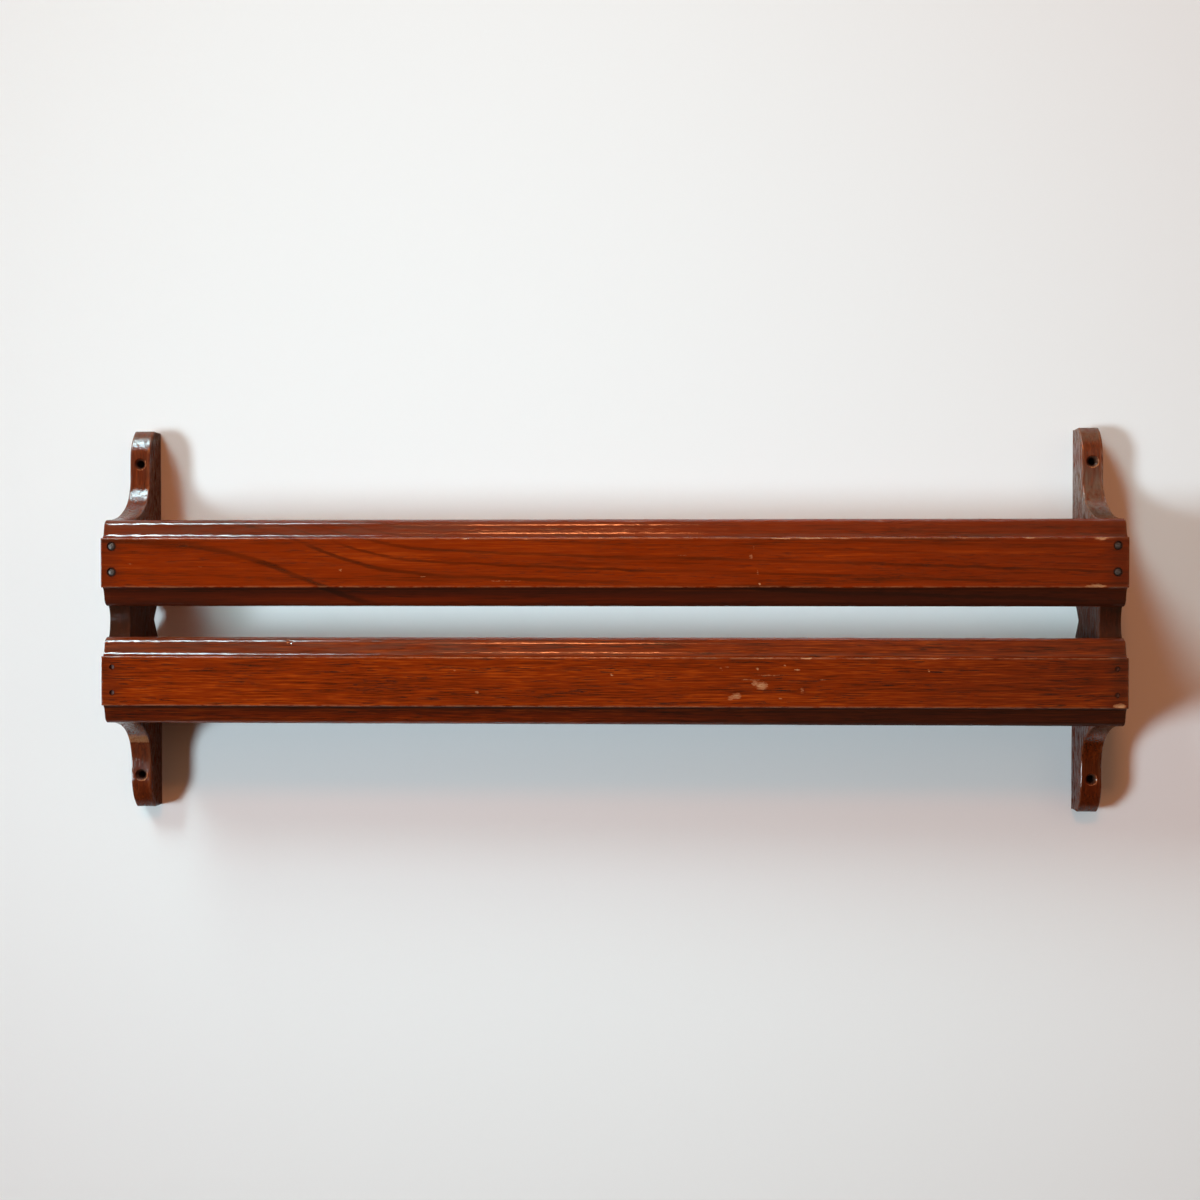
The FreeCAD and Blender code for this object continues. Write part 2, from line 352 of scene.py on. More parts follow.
def rail_stations():
    """Places along the rail and how far the outline shrinks there, as two arrays."""
    turn = np.radians(np.linspace(0, 90, 5))
    end_places = END_ARRIS * (1 - np.cos(turn))
    end_shrink = END_ARRIS * (1 - np.sin(turn))
    near = np.arange(1.0, 13.0, 0.6) * MM
    left = np.concatenate([end_places, near])
    middle = np.linspace(-RACK_END + CLOSE_LOOPS, RACK_END - CLOSE_LOOPS, MIDDLE_LOOPS)
    places = np.concatenate([left - RACK_END, middle, RACK_END - left[::-1]])
    no_shrink = np.zeros(len(near) * 2 + MIDDLE_LOOPS)
    return places, np.concatenate([end_shrink, no_shrink, end_shrink[::-1]])


print("loops along a rail:", len(rail_stations()[0]))

# %% Carry the outline along the rail
WAVE_HEIGHT = 0.22 * MM
RIPPLE_HEIGHT = 0.035 * MM
OUTLINE_CENTRE = 6 * MM
RADIANS_PER_METRE = 20


def rail_surface(name, middle_height, chips, seed):
    """Point (x, outline point) = outline moved inwards by unevenness + chips + end shrink. The
    waves also turn slowly round the outline, so that they differ from face to face."""
    places, shrink = rail_stations()
    along, depth = np.meshgrid(places, rail_loop[:, 0], indexing="ij")
    height = np.broadcast_to(rail_loop[:, 1], along.shape)
    from_end = RACK_END - np.abs(along)
    front = smooth_step(depth, 1 * MM, 4 * MM)
    round_outline = np.arctan2(height, depth - OUTLINE_CENTRE) / RADIANS_PER_METRE
    uneven = slow_waves(along + round_outline, seed, WAVE_HEIGHT, 0.04, 0.21)
    ripple = slow_waves(along - 2 * round_outline, seed + 1, RIPPLE_HEIGHT, 0.008, 0.024)
    inward = (uneven + ripple) * front
    bare = np.zeros(along.shape)
    for chip_x, chip_depth, chip_height, length, width, deep, shown in chips:
        aside = np.hypot(depth - chip_depth * MM, height - chip_height * MM)
        hollow = oval(along - chip_x * MM, aside, length * MM, width * MM)
        inward = inward + deep * MM * hollow
        bare = np.maximum(bare, shown * np.sqrt(hollow))
    rubbed = rail_rubbing(along, depth, height, from_end, front)
    # Dirt with painted shade, and a dull film with a painted sheen, as numbers for the material.
    grime, film = rail_dirt_and_shade(along, depth, height, from_end, front, middle_height > 0)
    moved = inward * smooth_step(from_end, 0, 2 * MM) + shrink[:, None]
    depth = SEAT_DEPTH + depth - moved * rail_loop_normals[:, 0]
    height = middle_height + height - moved * rail_loop_normals[:, 1]
    mesh = ring_mesh(name, np.stack([along, -depth, height], axis=-1))
    face_outwards(mesh)
    paint(mesh, rubbed=rubbed, grime=grime, bare=bare, film=film)
    return mesh


print("waves up to", round(WAVE_HEIGHT / MM, 2), "mm, ripples up to", round(RIPPLE_HEIGHT / MM, 3))

# %% Chips of both rails: place along, depth and height on the outline, length, width, how deep,
# how bare. All but the last are in mm.
TOP = 24.6
ARRIS = 14.4
UPPER_CHIPS = [
    (100, 11.8, ARRIS, 13, 2.2, 0.45, 0.9), (117, 11.8, ARRIS, 22, 1.5, 0.20, 0.8),
    (136, 11.8, ARRIS, 14, 1.3, 0.25, 0.7), (205, 11.8, ARRIS, 12, 1.1, 0.2, 0.5),
    (243, 11.8, ARRIS, 9, 1.3, 0.25, 0.8), (284, 11.8, 13.9, 10, 3.0, 0.30, 0.66),
    (281, 11.8, -13.7, 15, 3.0, 0.30, 0.66), (-84, 11.8, ARRIS, 4, 1.8, 0.35, 0.7),
    (-48, 11.8, ARRIS, 3, 1.5, 0.3, 0.6), (-128, 11.8, -ARRIS, 7, 1.2, 0.2, 0.6),
    (118, 11.8, -ARRIS, 14, 0.9, 0.15, 0.45), (88, 11.9, -12.4, 2.2, 1.8, 0.3, 0.9),
    (-219, 4.6, TOP, 7, 3.0, 0.35, 0.1), (-206, 4.6, TOP, 6, 3.4, 0.45, 0.1),
    (-193, 4.9, TOP, 5, 3.0, 0.35, 0.1), (-150, 4.9, TOP, 9, 3.0, 0.25, 0.2),
    (83, 12, 3.4, 2.4, 5.0, 0.15, 0.46), (85, 12, 8.5, 1.6, 4.0, 0.15, 0.45),
    (87, 12, -5.5, 1.6, 3.0, 0.12, 0.45), (-60, 12, -10.5, 30, 1.0, 0.06, 0.42),
    (-33, 12, 8.0, 1.6, 1.5, 0.2, 0.3), (15, 4.9, TOP, 16, 1.8, 0.15, 0.4),
    (160, 4.9, TOP, 10, 1.8, 0.2, 0.3), (226, 4.9, TOP, 14, 1.6, 0.15, 0.3),
    (-282, 12, -0.5, 4, 1.2, 0.05, 0.45), (-240, 12, -2.7, 3, 1.2, 0.05, 0.45),
    (-157, 12, -4.2, 3, 2.2, 0.05, 0.44), (-157, 11.8, -ARRIS, 4, 1.2, 0.05, 0.6),
    (-108, 12, -8.0, 5, 1.0, 0.05, 0.42), (42, 12, 4.0, 9, 1.2, 0.04, 0.40),
]
LOWER_CHIPS = [
    (89.3, 12, -1.9, 9.0, 6.0, 0.14, 0.58), (85.3, 12, -0.4, 5.0, 4.0, 0.10, 0.50),
    (74.6, 12, -7.9, 7.5, 4.5, 0.14, 0.58), (71.3, 12, -9.2, 5.0, 3.0, 0.10, 0.50),
    (115, 11.8, ARRIS, 8, 1.6, 0.35, 1.0), (90, 11.8, ARRIS, 18, 1.2, 0.2, 0.65),
    (152, 11.8, ARRIS, 20, 1.1, 0.15, 0.5), (188, 11.8, ARRIS, 24, 1.2, 0.2, 0.6),
    (-90, 11.8, ARRIS, 50, 1.0, 0.12, 0.5), (20, 11.8, ARRIS, 30, 1.0, 0.12, 0.5),
    (109.8, 12, 7.5, 3.2, 1.4, 0.2, 0.85), (102.8, 12, 9.8, 2.2, 1.2, 0.15, 0.7),
    (124.8, 12, 1.5, 5.0, 1.2, 0.15, 0.6), (112.8, 12, -4.5, 2.2, 4.4, 0.15, 0.45),
    (99.8, 12, -9.2, 3.0, 1.4, 0.15, 0.6), (86.8, 12, 8.0, 2.6, 1.8, 0.15, 0.7),
    (68.8, 12, 9.3, 4.4, 1.2, 0.12, 0.5), (65.8, 12, 7.9, 2.6, 1.2, 0.12, 0.6),
    (94.8, 12, 4.2, 24, 1.0, 0.08, 0.42), (82.8, 12, 1.5, 14, 1.2, 0.08, 0.5),
    (295, 11.8, -13.2, 9, 3.8, 0.30, 0.70), (293, 12, 4.8, 1.4, 1.4, 0.2, 0.4),
    (-77, 12, -5.9, 2.4, 2.4, 0.2, 0.6), (-90, 12, 6.8, 3.0, 1.4, 0.12, 0.5),
    (2, 12, 4.2, 2.0, 1.8, 0.2, 0.8), (186, 12, 6.8, 1.6, 1.6, 0.2, 0.7),
    (-64, 3.5, -TOP, 20, 2.4, 0.5, 0.1), (-36, 3.5, -TOP, 12, 2.0, 0.4, 0.1),
    (-217, 3.5, -TOP, 10, 1.8, 0.3, 0.1), (44, 11.8, -ARRIS, 18, 0.9, 0.15, 0.4),
    (-282.7, 6.4, 22.6, 1.8, 1.5, 0.35, 0.2), (-252, 6.4, 22.6, 1.8, 1.5, 0.35, 0.2),
    (-238.6, 6.4, 22.6, 1.6, 1.4, 0.3, 0.2), (-215, 6.4, 22.6, 1.8, 1.6, 0.35, 0.2),
    (-188.8, 6.4, 22.6, 3.0, 2.0, 0.5, 0.3), (-190.5, 4.9, TOP, 3.0, 2.0, 0.4, 0.5),
]
print("chips:", len(UPPER_CHIPS), "on the upper rail and", len(LOWER_CHIPS), "on the lower")

# %% Make both rails
UPPER_SEED = 11
LOWER_SEED = 23
upper_mesh = rail_surface("upper_rail_wood", RAIL_MIDDLE, UPPER_CHIPS, UPPER_SEED)
lower_mesh = rail_surface("lower_rail_wood", -RAIL_MIDDLE, LOWER_CHIPS, LOWER_SEED)
upper_rail = add_piece("upper_rail_wood", upper_mesh)
lower_rail = add_piece("lower_rail_wood", lower_mesh)
print("rails:", len(upper_rail.data.polygons), "faces each, volume",
      round(volume_of(upper_rail.data) * 1e6, 1), "cm3")

# %% [markdown]
# ## The bracket's outline
#
# A bracket was sawn from half-inch board: a lobe at the top and bottom, each with a hollow sweep
# out to the seat for a rail, and a shallow scoop in between. Its front edge is drawn as a path
# from the top corner by the wall to the bottom one. Every point of the path has a partner on the
# back edge, which has a V notch in its middle, and the side faces are stretched between the two.

# %% Sizes of the bracket
LOBE_DEPTH = 19.5 * MM
LOBE_END_FLAT = 10.5 * MM
LOBE_ROUND = 24.0 * MM
SWEEP_TOP = 78.8 * MM
SWEEP_RADIUS = 44.0 * MM
SEAT_TOP = 60.9 * MM
SEAT_FOOT = 9.2 * MM
NOSE = 24.0 * MM
SCOOP = 1.6 * MM
NOTCH_DEPTH = 13.3 * MM
NOTCH_HALF = 21.5 * MM
PATH_STEP = 0.7 * MM
print("a bracket stands", round(SEAT_DEPTH / MM, 1), "mm out, its lobes", round(LOBE_DEPTH / MM, 1))

# %% Draw the front edge
round_centre = np.array([LOBE_DEPTH - LOBE_ROUND, 0])
round_centre[1] = RACK_TOP - math.sqrt(LOBE_ROUND ** 2 - (LOBE_END_FLAT - round_centre[0]) ** 2)
round_start = math.degrees(math.acos((LOBE_END_FLAT - round_centre[0]) / LOBE_ROUND))
chord = np.array([SEAT_DEPTH - LOBE_DEPTH, SEAT_TOP - SWEEP_TOP])
chord_length = np.linalg.norm(chord)
chord_normal = np.array([-chord[1], chord[0]]) / chord_length
sweep_rise = math.sqrt(SWEEP_RADIUS ** 2 - (chord_length / 2) ** 2)
sweep_centre = np.array([LOBE_DEPTH, SWEEP_TOP]) + chord / 2 + chord_normal * sweep_rise
nose_across = LOBE_DEPTH + NOSE - sweep_centre[0]
nose_centre = np.array([LOBE_DEPTH + NOSE, 0])
nose_centre[1] = sweep_centre[1] - math.sqrt((SWEEP_RADIUS - NOSE) ** 2 - nose_across ** 2)
nose_end = 180 + math.degrees(math.atan2(sweep_centre[1] - nose_centre[1], -nose_across))
sweep_end = 180 + math.degrees(math.atan2(sweep_centre[1] - SEAT_TOP, sweep_centre[0] - SEAT_DEPTH))
scoop_radius = (SEAT_FOOT ** 2 + SCOOP ** 2) / (2 * SCOOP)
scoop_centre = np.array([SEAT_DEPTH - SCOOP + scoop_radius, 0])
scoop_turn = math.degrees(math.asin(SEAT_FOOT / scoop_radius))
bracket_half = joined([
    run((0.5 * MM, RACK_TOP), (LOBE_END_FLAT, RACK_TOP), 12),
    arc(round_centre, LOBE_ROUND, round_start, 0, 40),
    run((LOBE_DEPTH, round_centre[1]), (LOBE_DEPTH, nose_centre[1]), 14),
    arc(nose_centre, NOSE, 180, nose_end, 20),
    arc(sweep_centre, SWEEP_RADIUS, nose_end, sweep_end, 60),
    run((SEAT_DEPTH, SEAT_TOP), (SEAT_DEPTH, SEAT_FOOT), 70),
    arc(scoop_centre, scoop_radius, 180 - scoop_turn, 180, 14),
])
print("nose and sweep end at", round(nose_end, 1), "and", round(sweep_end, 1), "degrees")


# %% Even out the path, and give each point its partner on the back edge
def even_path(points, step):
    """The same line with its points an even step apart, by linear interpolation of its length."""
    length = np.concatenate([[0], np.cumsum(np.linalg.norm(np.diff(points, axis=0), axis=1))])
    at = np.linspace(0, length[-1], int(length[-1] / step) + 1)
    return np.stack([np.interp(at, length, points[:, k]) for k in range(2)], axis=1)


def softened(points, reach):
    """Each point becomes the mean of its neighbours by a bell curve, which rounds off corners."""
    span = np.arange(-reach, reach + 1)
    weights = bell(2.0 * span, reach)
    weights /= weights.sum()
    padded = np.concatenate([2 * points[0] - points[reach:0:-1], points,
                             2 * points[-1] - points[-2:-reach - 2:-1]])
    return np.stack([np.convolve(padded[:, k], weights, mode="valid") for k in range(2)], axis=1)


full_path = np.concatenate([bracket_half, bracket_half[-2::-1] * [1, -1]])
front_path = softened(even_path(full_path, PATH_STEP), 2)
path_length = np.concatenate([[0], np.cumsum(np.linalg.norm(np.diff(front_path, axis=0), axis=1))])
from_end_of_path = np.minimum(path_length, path_length[-1] - path_length)
lobe_arc = LOBE_END_FLAT + LOBE_ROUND * math.radians(round_start)
lobe_share = np.clip(1 - from_end_of_path / lobe_arc, 0, 1)
lobe_back = round_centre[1] + (RACK_TOP - 0.5 * MM - round_centre[1]) * lobe_share
back_height = np.where(from_end_of_path < lobe_arc, np.sign(front_path[:, 1]) * lobe_back,
                       front_path[:, 1])
notch = np.clip(1 - np.abs(back_height) / NOTCH_HALF, 0, 1) * NOTCH_DEPTH
back_path = np.stack([notch, back_height], axis=1)
print("bracket path:", len(front_path), "points,", round(path_length[-1] / MM), "mm long")

# %% [markdown]
# ## One bracket as a surface
#
# The loop that is carried down the bracket runs once round its thickness: across the front edge,
# round the arris, back over the side face, across the back edge and forward again. The arris is
# a quarter circle. It is larger on the lobes, which hands and cloths reach, and almost sharp
# under the rails, so that no gap opens there.

# %% Stretch the bracket between its edges
HALF_THICKNESS = (RACK_END - BRACKET_INNER) / 2
LOBE_ARRIS = 0.9 * MM
SEAT_ARRIS = 0.15 * MM
BACK_EDGE_ARRIS = 0.3 * MM
ARRIS_WAVE = 7 * MM
EDGE_WANDER = 0.25 * MM
FRONT_POINTS = 17

on_lobe = smooth_step(np.abs(front_path[:, 1]), SEAT_TOP - 1 * MM, SEAT_TOP + 4 * MM)
in_scoop = 1 - smooth_step(np.abs(front_path[:, 1]), SEAT_FOOT - 2 * MM, SEAT_FOOT)
free = np.maximum(on_lobe, in_scoop)


def bracket_loops(seed):
    """Point (path, loop): the front edge moved in by r(1 - sin a) and out sideways to
    half - r(1 - cos a), for the arris angle a, then straight lines to the back edge. Gives the
    points in the bracket's own plane, and how far each stands to the side."""
    radius = SEAT_ARRIS + (LOBE_ARRIS - SEAT_ARRIS) * np.maximum(on_lobe, 0.5 * in_scoop)
    radius = (radius * (1 + 0.25 * np.sin(path_length / ARRIS_WAVE + seed)))[:, None]
    wander = (slow_waves(path_length, seed, EDGE_WANDER, 0.012, 0.06) * free)[:, None]
    across = np.linspace(-1, 1, FRONT_POINTS)
    turn = np.radians(np.linspace(0, 90, 6))[::-1][1:]
    share = np.linspace(0, 1, 13)[1:-1]
    half_in = wander + radius * np.concatenate([0 * across, 1 - np.sin(turn), 1 + 0 * share])
    half_side = np.concatenate([
        across * (HALF_THICKNESS - radius), HALF_THICKNESS - radius * (1 - np.cos(turn)),
        HALF_THICKNESS + 0 * radius * share], axis=1)
    half_back = np.concatenate([0 * across, 0 * turn, share])
    inwards = -outward(front_path, closed=False)
    front = front_path[:, None] + half_in[..., None] * inwards[:, None]
    to_back = back_path[:, None] + [BACK_EDGE_ARRIS, 0] - front
    half = front + half_back[:, None] * to_back

    back_turn = np.radians(np.linspace(0, 90, 4))
    back_in = BACK_EDGE_ARRIS * (1 - np.sin(back_turn))
    back_side = HALF_THICKNESS - BACK_EDGE_ARRIS * (1 - np.cos(back_turn))
    back = back_path[:, None] + np.stack([back_in, 0 * back_in], axis=1)
    flat_side = np.linspace(1, -1, 9)[1:-1] * back_side[-1]
    flat = back_path[:, None] + np.zeros((1, len(flat_side), 2))
    back_sides = np.concatenate([back_side, flat_side, -back_side[::-1]])
    loops = np.concatenate([half, back, flat, back[:, ::-1], half[:, :FRONT_POINTS - 1:-1]], axis=1)
    sides = np.concatenate([half_side, np.tile(back_sides, (len(front_path), 1)),
                            -half_side[:, :FRONT_POINTS - 1:-1]], axis=1)
    return loops, sides


print("bracket arrises:", round(SEAT_ARRIS / MM, 2), "to", round(LOBE_ARRIS / MM, 2), "mm")

# %% Rub the bracket's edges, and lay its painted shade and its dull film with painted sheen
LOBE_RUBBING = 0.22
STRIP_BARE = 0.55


def paint_bracket(mesh, rings, sides, is_left):
    """Rubbed: the edges of the lobes and the scoop. Darkened: painted shade on the side faces, more
    on the left bracket and low down on the right one, and between the rails, where the rails shade
    the bracket; also darker on the right sweep and on the lower lobe. Film: a dull film with a
    painted greyish sheen on the upper lobe, and a painted reflection on the top end and the sweeps.
    Bare: one strip across the left bracket's lower sweep."""
    depth, height = -rings[..., 1], rings[..., 2]
    edge = np.zeros(sides.shape)
    edge[:, FRONT_POINTS - 2:FRONT_POINTS + 6] = 1
    edge[:, -7:] = 1
    edge[:, 0] = 1
    side_face = smooth_step(np.abs(sides), HALF_THICKNESS - 0.3 * MM, HALF_THICKNESS)
    front_face = 1 - side_face
    on_sweep = smooth_step(depth, 26 * MM, 38 * MM) * on_lobe[:, None] * front_face

    low_down = smooth_step(-height, 20 * MM, 60 * MM)
    # Painted shade between the rails, where the rails shade the bracket; it also dulls the varnish
    # there.
    between_rails = 1 - smooth_step(np.abs(height), 10 * MM, 14 * MM)
    # Darker on the front of the lower lobe.
    lower_lobe = smooth_step(-height, 78 * MM, 88 * MM) * front_face
    # Painted shade on the side faces: more on the left bracket, and low down on the right one.
    side_shade = 0.6 if is_left else 0.3 + 0.25 * low_down
    # Darker on the right bracket's sweep.
    sweep_darkening = 0.0 if is_left else 0.5
    kinds = [side_shade * side_face, 0.95 * between_rails, sweep_darkening * on_sweep, 0.35 * lower_lobe]

    # A dull film with a painted greyish sheen: thin over the left bracket, strong on the right one's
    # upper part but less round its hole; a painted reflection on the top ends and on the sweeps.
    film_from = -RACK_TOP if is_left else 40 * MM
    upper_part = smooth_step(height, film_from, film_from + 40 * MM)
    top_end = smooth_step(height, 107 * MM, 113 * MM)
    below_hole = 1 - 0.75 * smooth_step(height, 88 * MM, 100 * MM)
    film = upper_part * (0.2 if is_left else 0.95 * below_hole) + 0.6 * top_end
    film = film + (0.6 if is_left else 0.9) * on_sweep

    strip = smooth_step(height, -77 * MM, -76 * MM) * smooth_step(-height, 69 * MM, 73 * MM)
    strip = strip * smooth_step(depth, 5 * MM, 8 * MM) * front_face
    paint(mesh, rubbed=LOBE_RUBBING * edge * free[:, None], grime=np.max(kinds, axis=0),
          film=np.clip(film, 0, 1), bare=STRIP_BARE * strip * is_left)


print("bracket paint is ready")

# %% Make both brackets
def bracket_surface(name, side, seed):
    """The loops, stood up at the rack's left end for side -1 or its right end for side 1."""
    loops, sides = bracket_loops(seed)
    rings = np.stack([side * BRACKET_MIDDLE + sides, -loops[..., 0], loops[..., 1]], axis=-1)
    mesh = ring_mesh(name, rings)
    face_outwards(mesh)
    paint_bracket(mesh, rings, sides, side < 0)
    return mesh


left_bracket = add_piece("left_bracket_wood", bracket_surface("left_bracket_wood", -1, 5))
right_bracket = add_piece("right_bracket_wood", bracket_surface("right_bracket_wood", 1, 8))
print("brackets:", len(left_bracket.data.polygons), "faces each, volume",
      round(volume_of(left_bracket.data) * 1e6, 1), "cm3")

# %% [markdown]
# ## The bottom board
#
# Behind the lower rail lies a plain board. Its loop is a rectangle with rounded corners, carried
# from one bracket to the other, and it has the same slow unevenness as the rails.

# %% Carry the board's loop
BOARD_ARRIS = 0.6 * MM


def board_surface(name):
    """Point (x, loop) = rectangle with quarter-circle corners, moved in by slow waves."""
    low = np.array([-board_box_high.y, board_box_low.z])
    high = np.array([-board_box_low.y, board_box_high.z])
    near, far = low + BOARD_ARRIS, high - BOARD_ARRIS
    loop = joined([
        run((near[0], high[1]), (far[0], high[1]), 24),
        arc(far, BOARD_ARRIS, 90, 0, 5),
        run((high[0], far[1]), (high[0], near[1]), 6),
        arc((far[0], near[1]), BOARD_ARRIS, 0, -90, 5),
        run((far[0], low[1]), (near[0], low[1]), 24),
        arc(near, BOARD_ARRIS, 270, 180, 5),
        run((low[0], near[1]), (low[0], far[1]), 6),
        arc((near[0], far[1]), BOARD_ARRIS, 180, 90, 5)[:-1],
    ])
    normals = outward(loop, closed=True)
    places = np.linspace(board_box_low.x, board_box_high.x, 320)
    along, depth = np.meshgrid(places, loop[:, 0], indexing="ij")
    flat = np.abs(normals[:, 1]) > 0.9
    inward = slow_waves(along + depth, 31, 0.15 * MM, 0.05, 0.2) * flat
    depth = depth - inward * normals[:, 0]
    height = loop[:, 1] - inward * normals[:, 1]
    mesh = ring_mesh(name, np.stack([along, -depth, height], axis=-1))
    face_outwards(mesh)
    corner = np.minimum(np.abs(normals[:, 0]), np.abs(normals[:, 1])) > 0.05
    clean = np.zeros(along.shape)
    paint(mesh, rubbed=clean + corner * 0.7, grime=clean, bare=clean, film=clean)
    return mesh


board = add_piece("bottom_board_wood", board_surface("bottom_board_wood"))
print("board: volume", round(volume_of(board.data) * 1e6, 1), "cm3")

# %% [markdown]
# ## Things turned on a line
#
# A nail, the hole that it sits in and the countersunk screw holes are all round. A half outline,
# radius against distance along the line, is spun once round. The same function serves for the
# nails that are shown and for the cutters that are taken out of the wood.

# %% Spin a half outline
def turned_points(outline, start, direction, turns):
    """Point (k, a) = start + along_k * direction + radius_k * (cos a * u + sin a * v)."""
    direction = np.array(direction, float)
    first = np.cross(direction, [0.0, 0.0, 1.0])
    second = np.cross(direction, first)
    angle = np.linspace(0, 2 * math.pi, turns, endpoint=False)
    circle = np.cos(angle)[:, None] * first + np.sin(angle)[:, None] * second
    radius, along = np.array(outline).T
    return (np.array(start) + along[:, None, None] * direction
            + radius[:, None, None] * circle[None])


def joined_meshes(name, meshes):
    """All the meshes as one, with their corners renumbered."""
    shifts = np.cumsum([0] + [len(mesh.vertices) for mesh in meshes]).tolist()
    faces = [[index + shift for index in face.vertices]
             for mesh, shift in zip(meshes, shifts) for face in mesh.polygons]
    result = bpy.data.meshes.new(name)
    result.from_pydata(np.concatenate([points_of(mesh) for mesh in meshes]).tolist(), [], faces)
    return result


def turned_set(name, outline, places, turns=32):
    """One mesh of the same turned shape at several places, each a start and a direction."""
    meshes = []
    for start, direction in places:
        mesh = ring_mesh(name, turned_points(outline, start, direction, turns))
        face_outwards(mesh)
        meshes.append(mesh)
    joint = joined_meshes(name, meshes)
    rim = smooth_step(np.array(outline)[:, 0], 1.0 * MM, 1.9 * MM)
    paint(joint, rim=np.tile(np.repeat(rim, turns), len(places)))
    return joint


print("turning tools are ready")

# %% Nails: where they are driven
INTO_WALL = (0, 1, 0)
ROUND_SINK = 0.3 * MM
LOST_SINK = 0.9 * MM
BOARD_NAIL_HEIGHT = -54.85 * MM


def rail_nails(heights, sink):
    """The four nails of a rail: two over each bracket, driven towards the wall."""
    return [((side * BRACKET_MIDDLE, -FASCIA_FRONT + sink, height * MM), INTO_WALL)
            for side in (-1, 1) for height in heights]


upper_nails = rail_nails((29.4, 44.6), ROUND_SINK)
lower_nails = rail_nails((-41.8, -26.6), LOST_SINK)
board_nails = [((side * (RACK_END - LOST_SINK), -depth * MM, BOARD_NAIL_HEIGHT), (-side, 0, 0))
               for side in (-1, 1) for depth in (15, 41)]
print(len(upper_nails + lower_nails + board_nails), "nails")

# %% Nails: their outlines, radius and distance from the crown in mm
ROUND_HEAD = np.array([
    (0.02, 0), (0.7, 0.03), (1.3, 0.12), (1.8, 0.27), (2.1, 0.43), (2.27, 0.62), (2.3, 0.8),
    (2.3, 1.3), (1.0, 1.3), (1.0, 25.3), (0.02, 28.3)]) * MM
LOST_HEAD = np.array([
    (0.02, 0.12), (0.5, 0.1), (0.9, 0.04), (1.1, 0.02), (1.25, 0.12), (1.3, 0.3), (1.3, 1.8),
    (1.15, 2.0), (1.0, 2.0), (1.0, 26.0), (0.02, 29.0)]) * MM
ROUND_POCKET = np.array([
    (0.02, -1.5), (2.6, -1.5), (2.45, -0.1), (2.37, 0.25), (2.35, 1.3), (1.05, 1.3), (1.05, 28.4),
    (0.02, 28.4)]) * MM
LOST_POCKET = np.array([
    (0.02, -2.5), (1.6, -2.5), (1.42, -0.7), (1.35, 0), (1.35, 2.0), (1.05, 2.0), (1.05, 29.2),
    (0.02, 29.2)]) * MM
SCREW_HOLE = np.array([
    (0.02, -6), (4.4, -6), (4.0, -0.15), (3.8, 0.1), (2.3, 1.6), (2.25, 2.2), (2.25, 25),
    (0.02, 25)]) * MM
nail_sets = [
    ("upper_rail_round_nails", ROUND_HEAD, upper_nails, "upper_rail_nails", "bright_nail"),
    ("lower_rail_sunk_nails", LOST_HEAD, lower_nails, "lower_rail_nails", "sunk_nail"),
    ("bottom_board_sunk_nails", LOST_HEAD, board_nails, "bottom_board_nails", "sunk_nail"),
]
NAIL_SHARP = math.radians(50)
nails = {}
for piece_name, outline, places, node, slot in nail_sets:
    nails[piece_name] = add_piece(piece_name, turned_set(piece_name, outline, places))
    nails[piece_name].data.shade_smooth()
    nails[piece_name].data.set_sharp_from_angle(angle=NAIL_SHARP)
print("nail pieces:", list(nails))

# %% [markdown]
# ## Drilling
#
# A hole is the wood minus a turned cutter. Blender's Boolean modifier does that, and the result
# is kept as the piece's own mesh, so nothing is left to work out later. Afterwards the points near
# each hole are painted by their distance from its middle line: the lower right of a countersink's
# sharp edge is painted pale, partly as wood that has lost its varnish and partly as a painted
# highlight, the bores are painted dark as dirt and painted shade, and dirt lies round the nails.

# %% Cut a turned shape out of a piece
def cut_out(piece, outline, places):
    """The piece keeps what is left of it when a turned shape is taken out at each place."""
    cutter = add_piece("cutter", turned_set("cutter", outline, places))
    cut = piece.modifiers.new("carve", "BOOLEAN")
    cut.operation = "DIFFERENCE"
    cut.solver = "EXACT"
    cut.object = cutter
    bpy.context.view_layer.update()
    shape = piece.evaluated_get(bpy.context.evaluated_depsgraph_get())
    result = bpy.data.meshes.new_from_object(shape)
    piece.modifiers.clear()
    piece.data = result
    bpy.data.objects.remove(cutter)


print("the cutter is ready")

# %% Paint round the holes
HOLE_STARTS = -2 * MM
HOLE_ENDS = 30 * MM
RING_ENDS = 2 * MM
RIM_INNER = 0.86


def read_paint(mesh, name):
    """The numbers that paint() kept on the mesh."""
    values = np.zeros(len(mesh.vertices), dtype=np.float32)
    mesh.attributes[name].data.foreach_get("value", values)
    return values


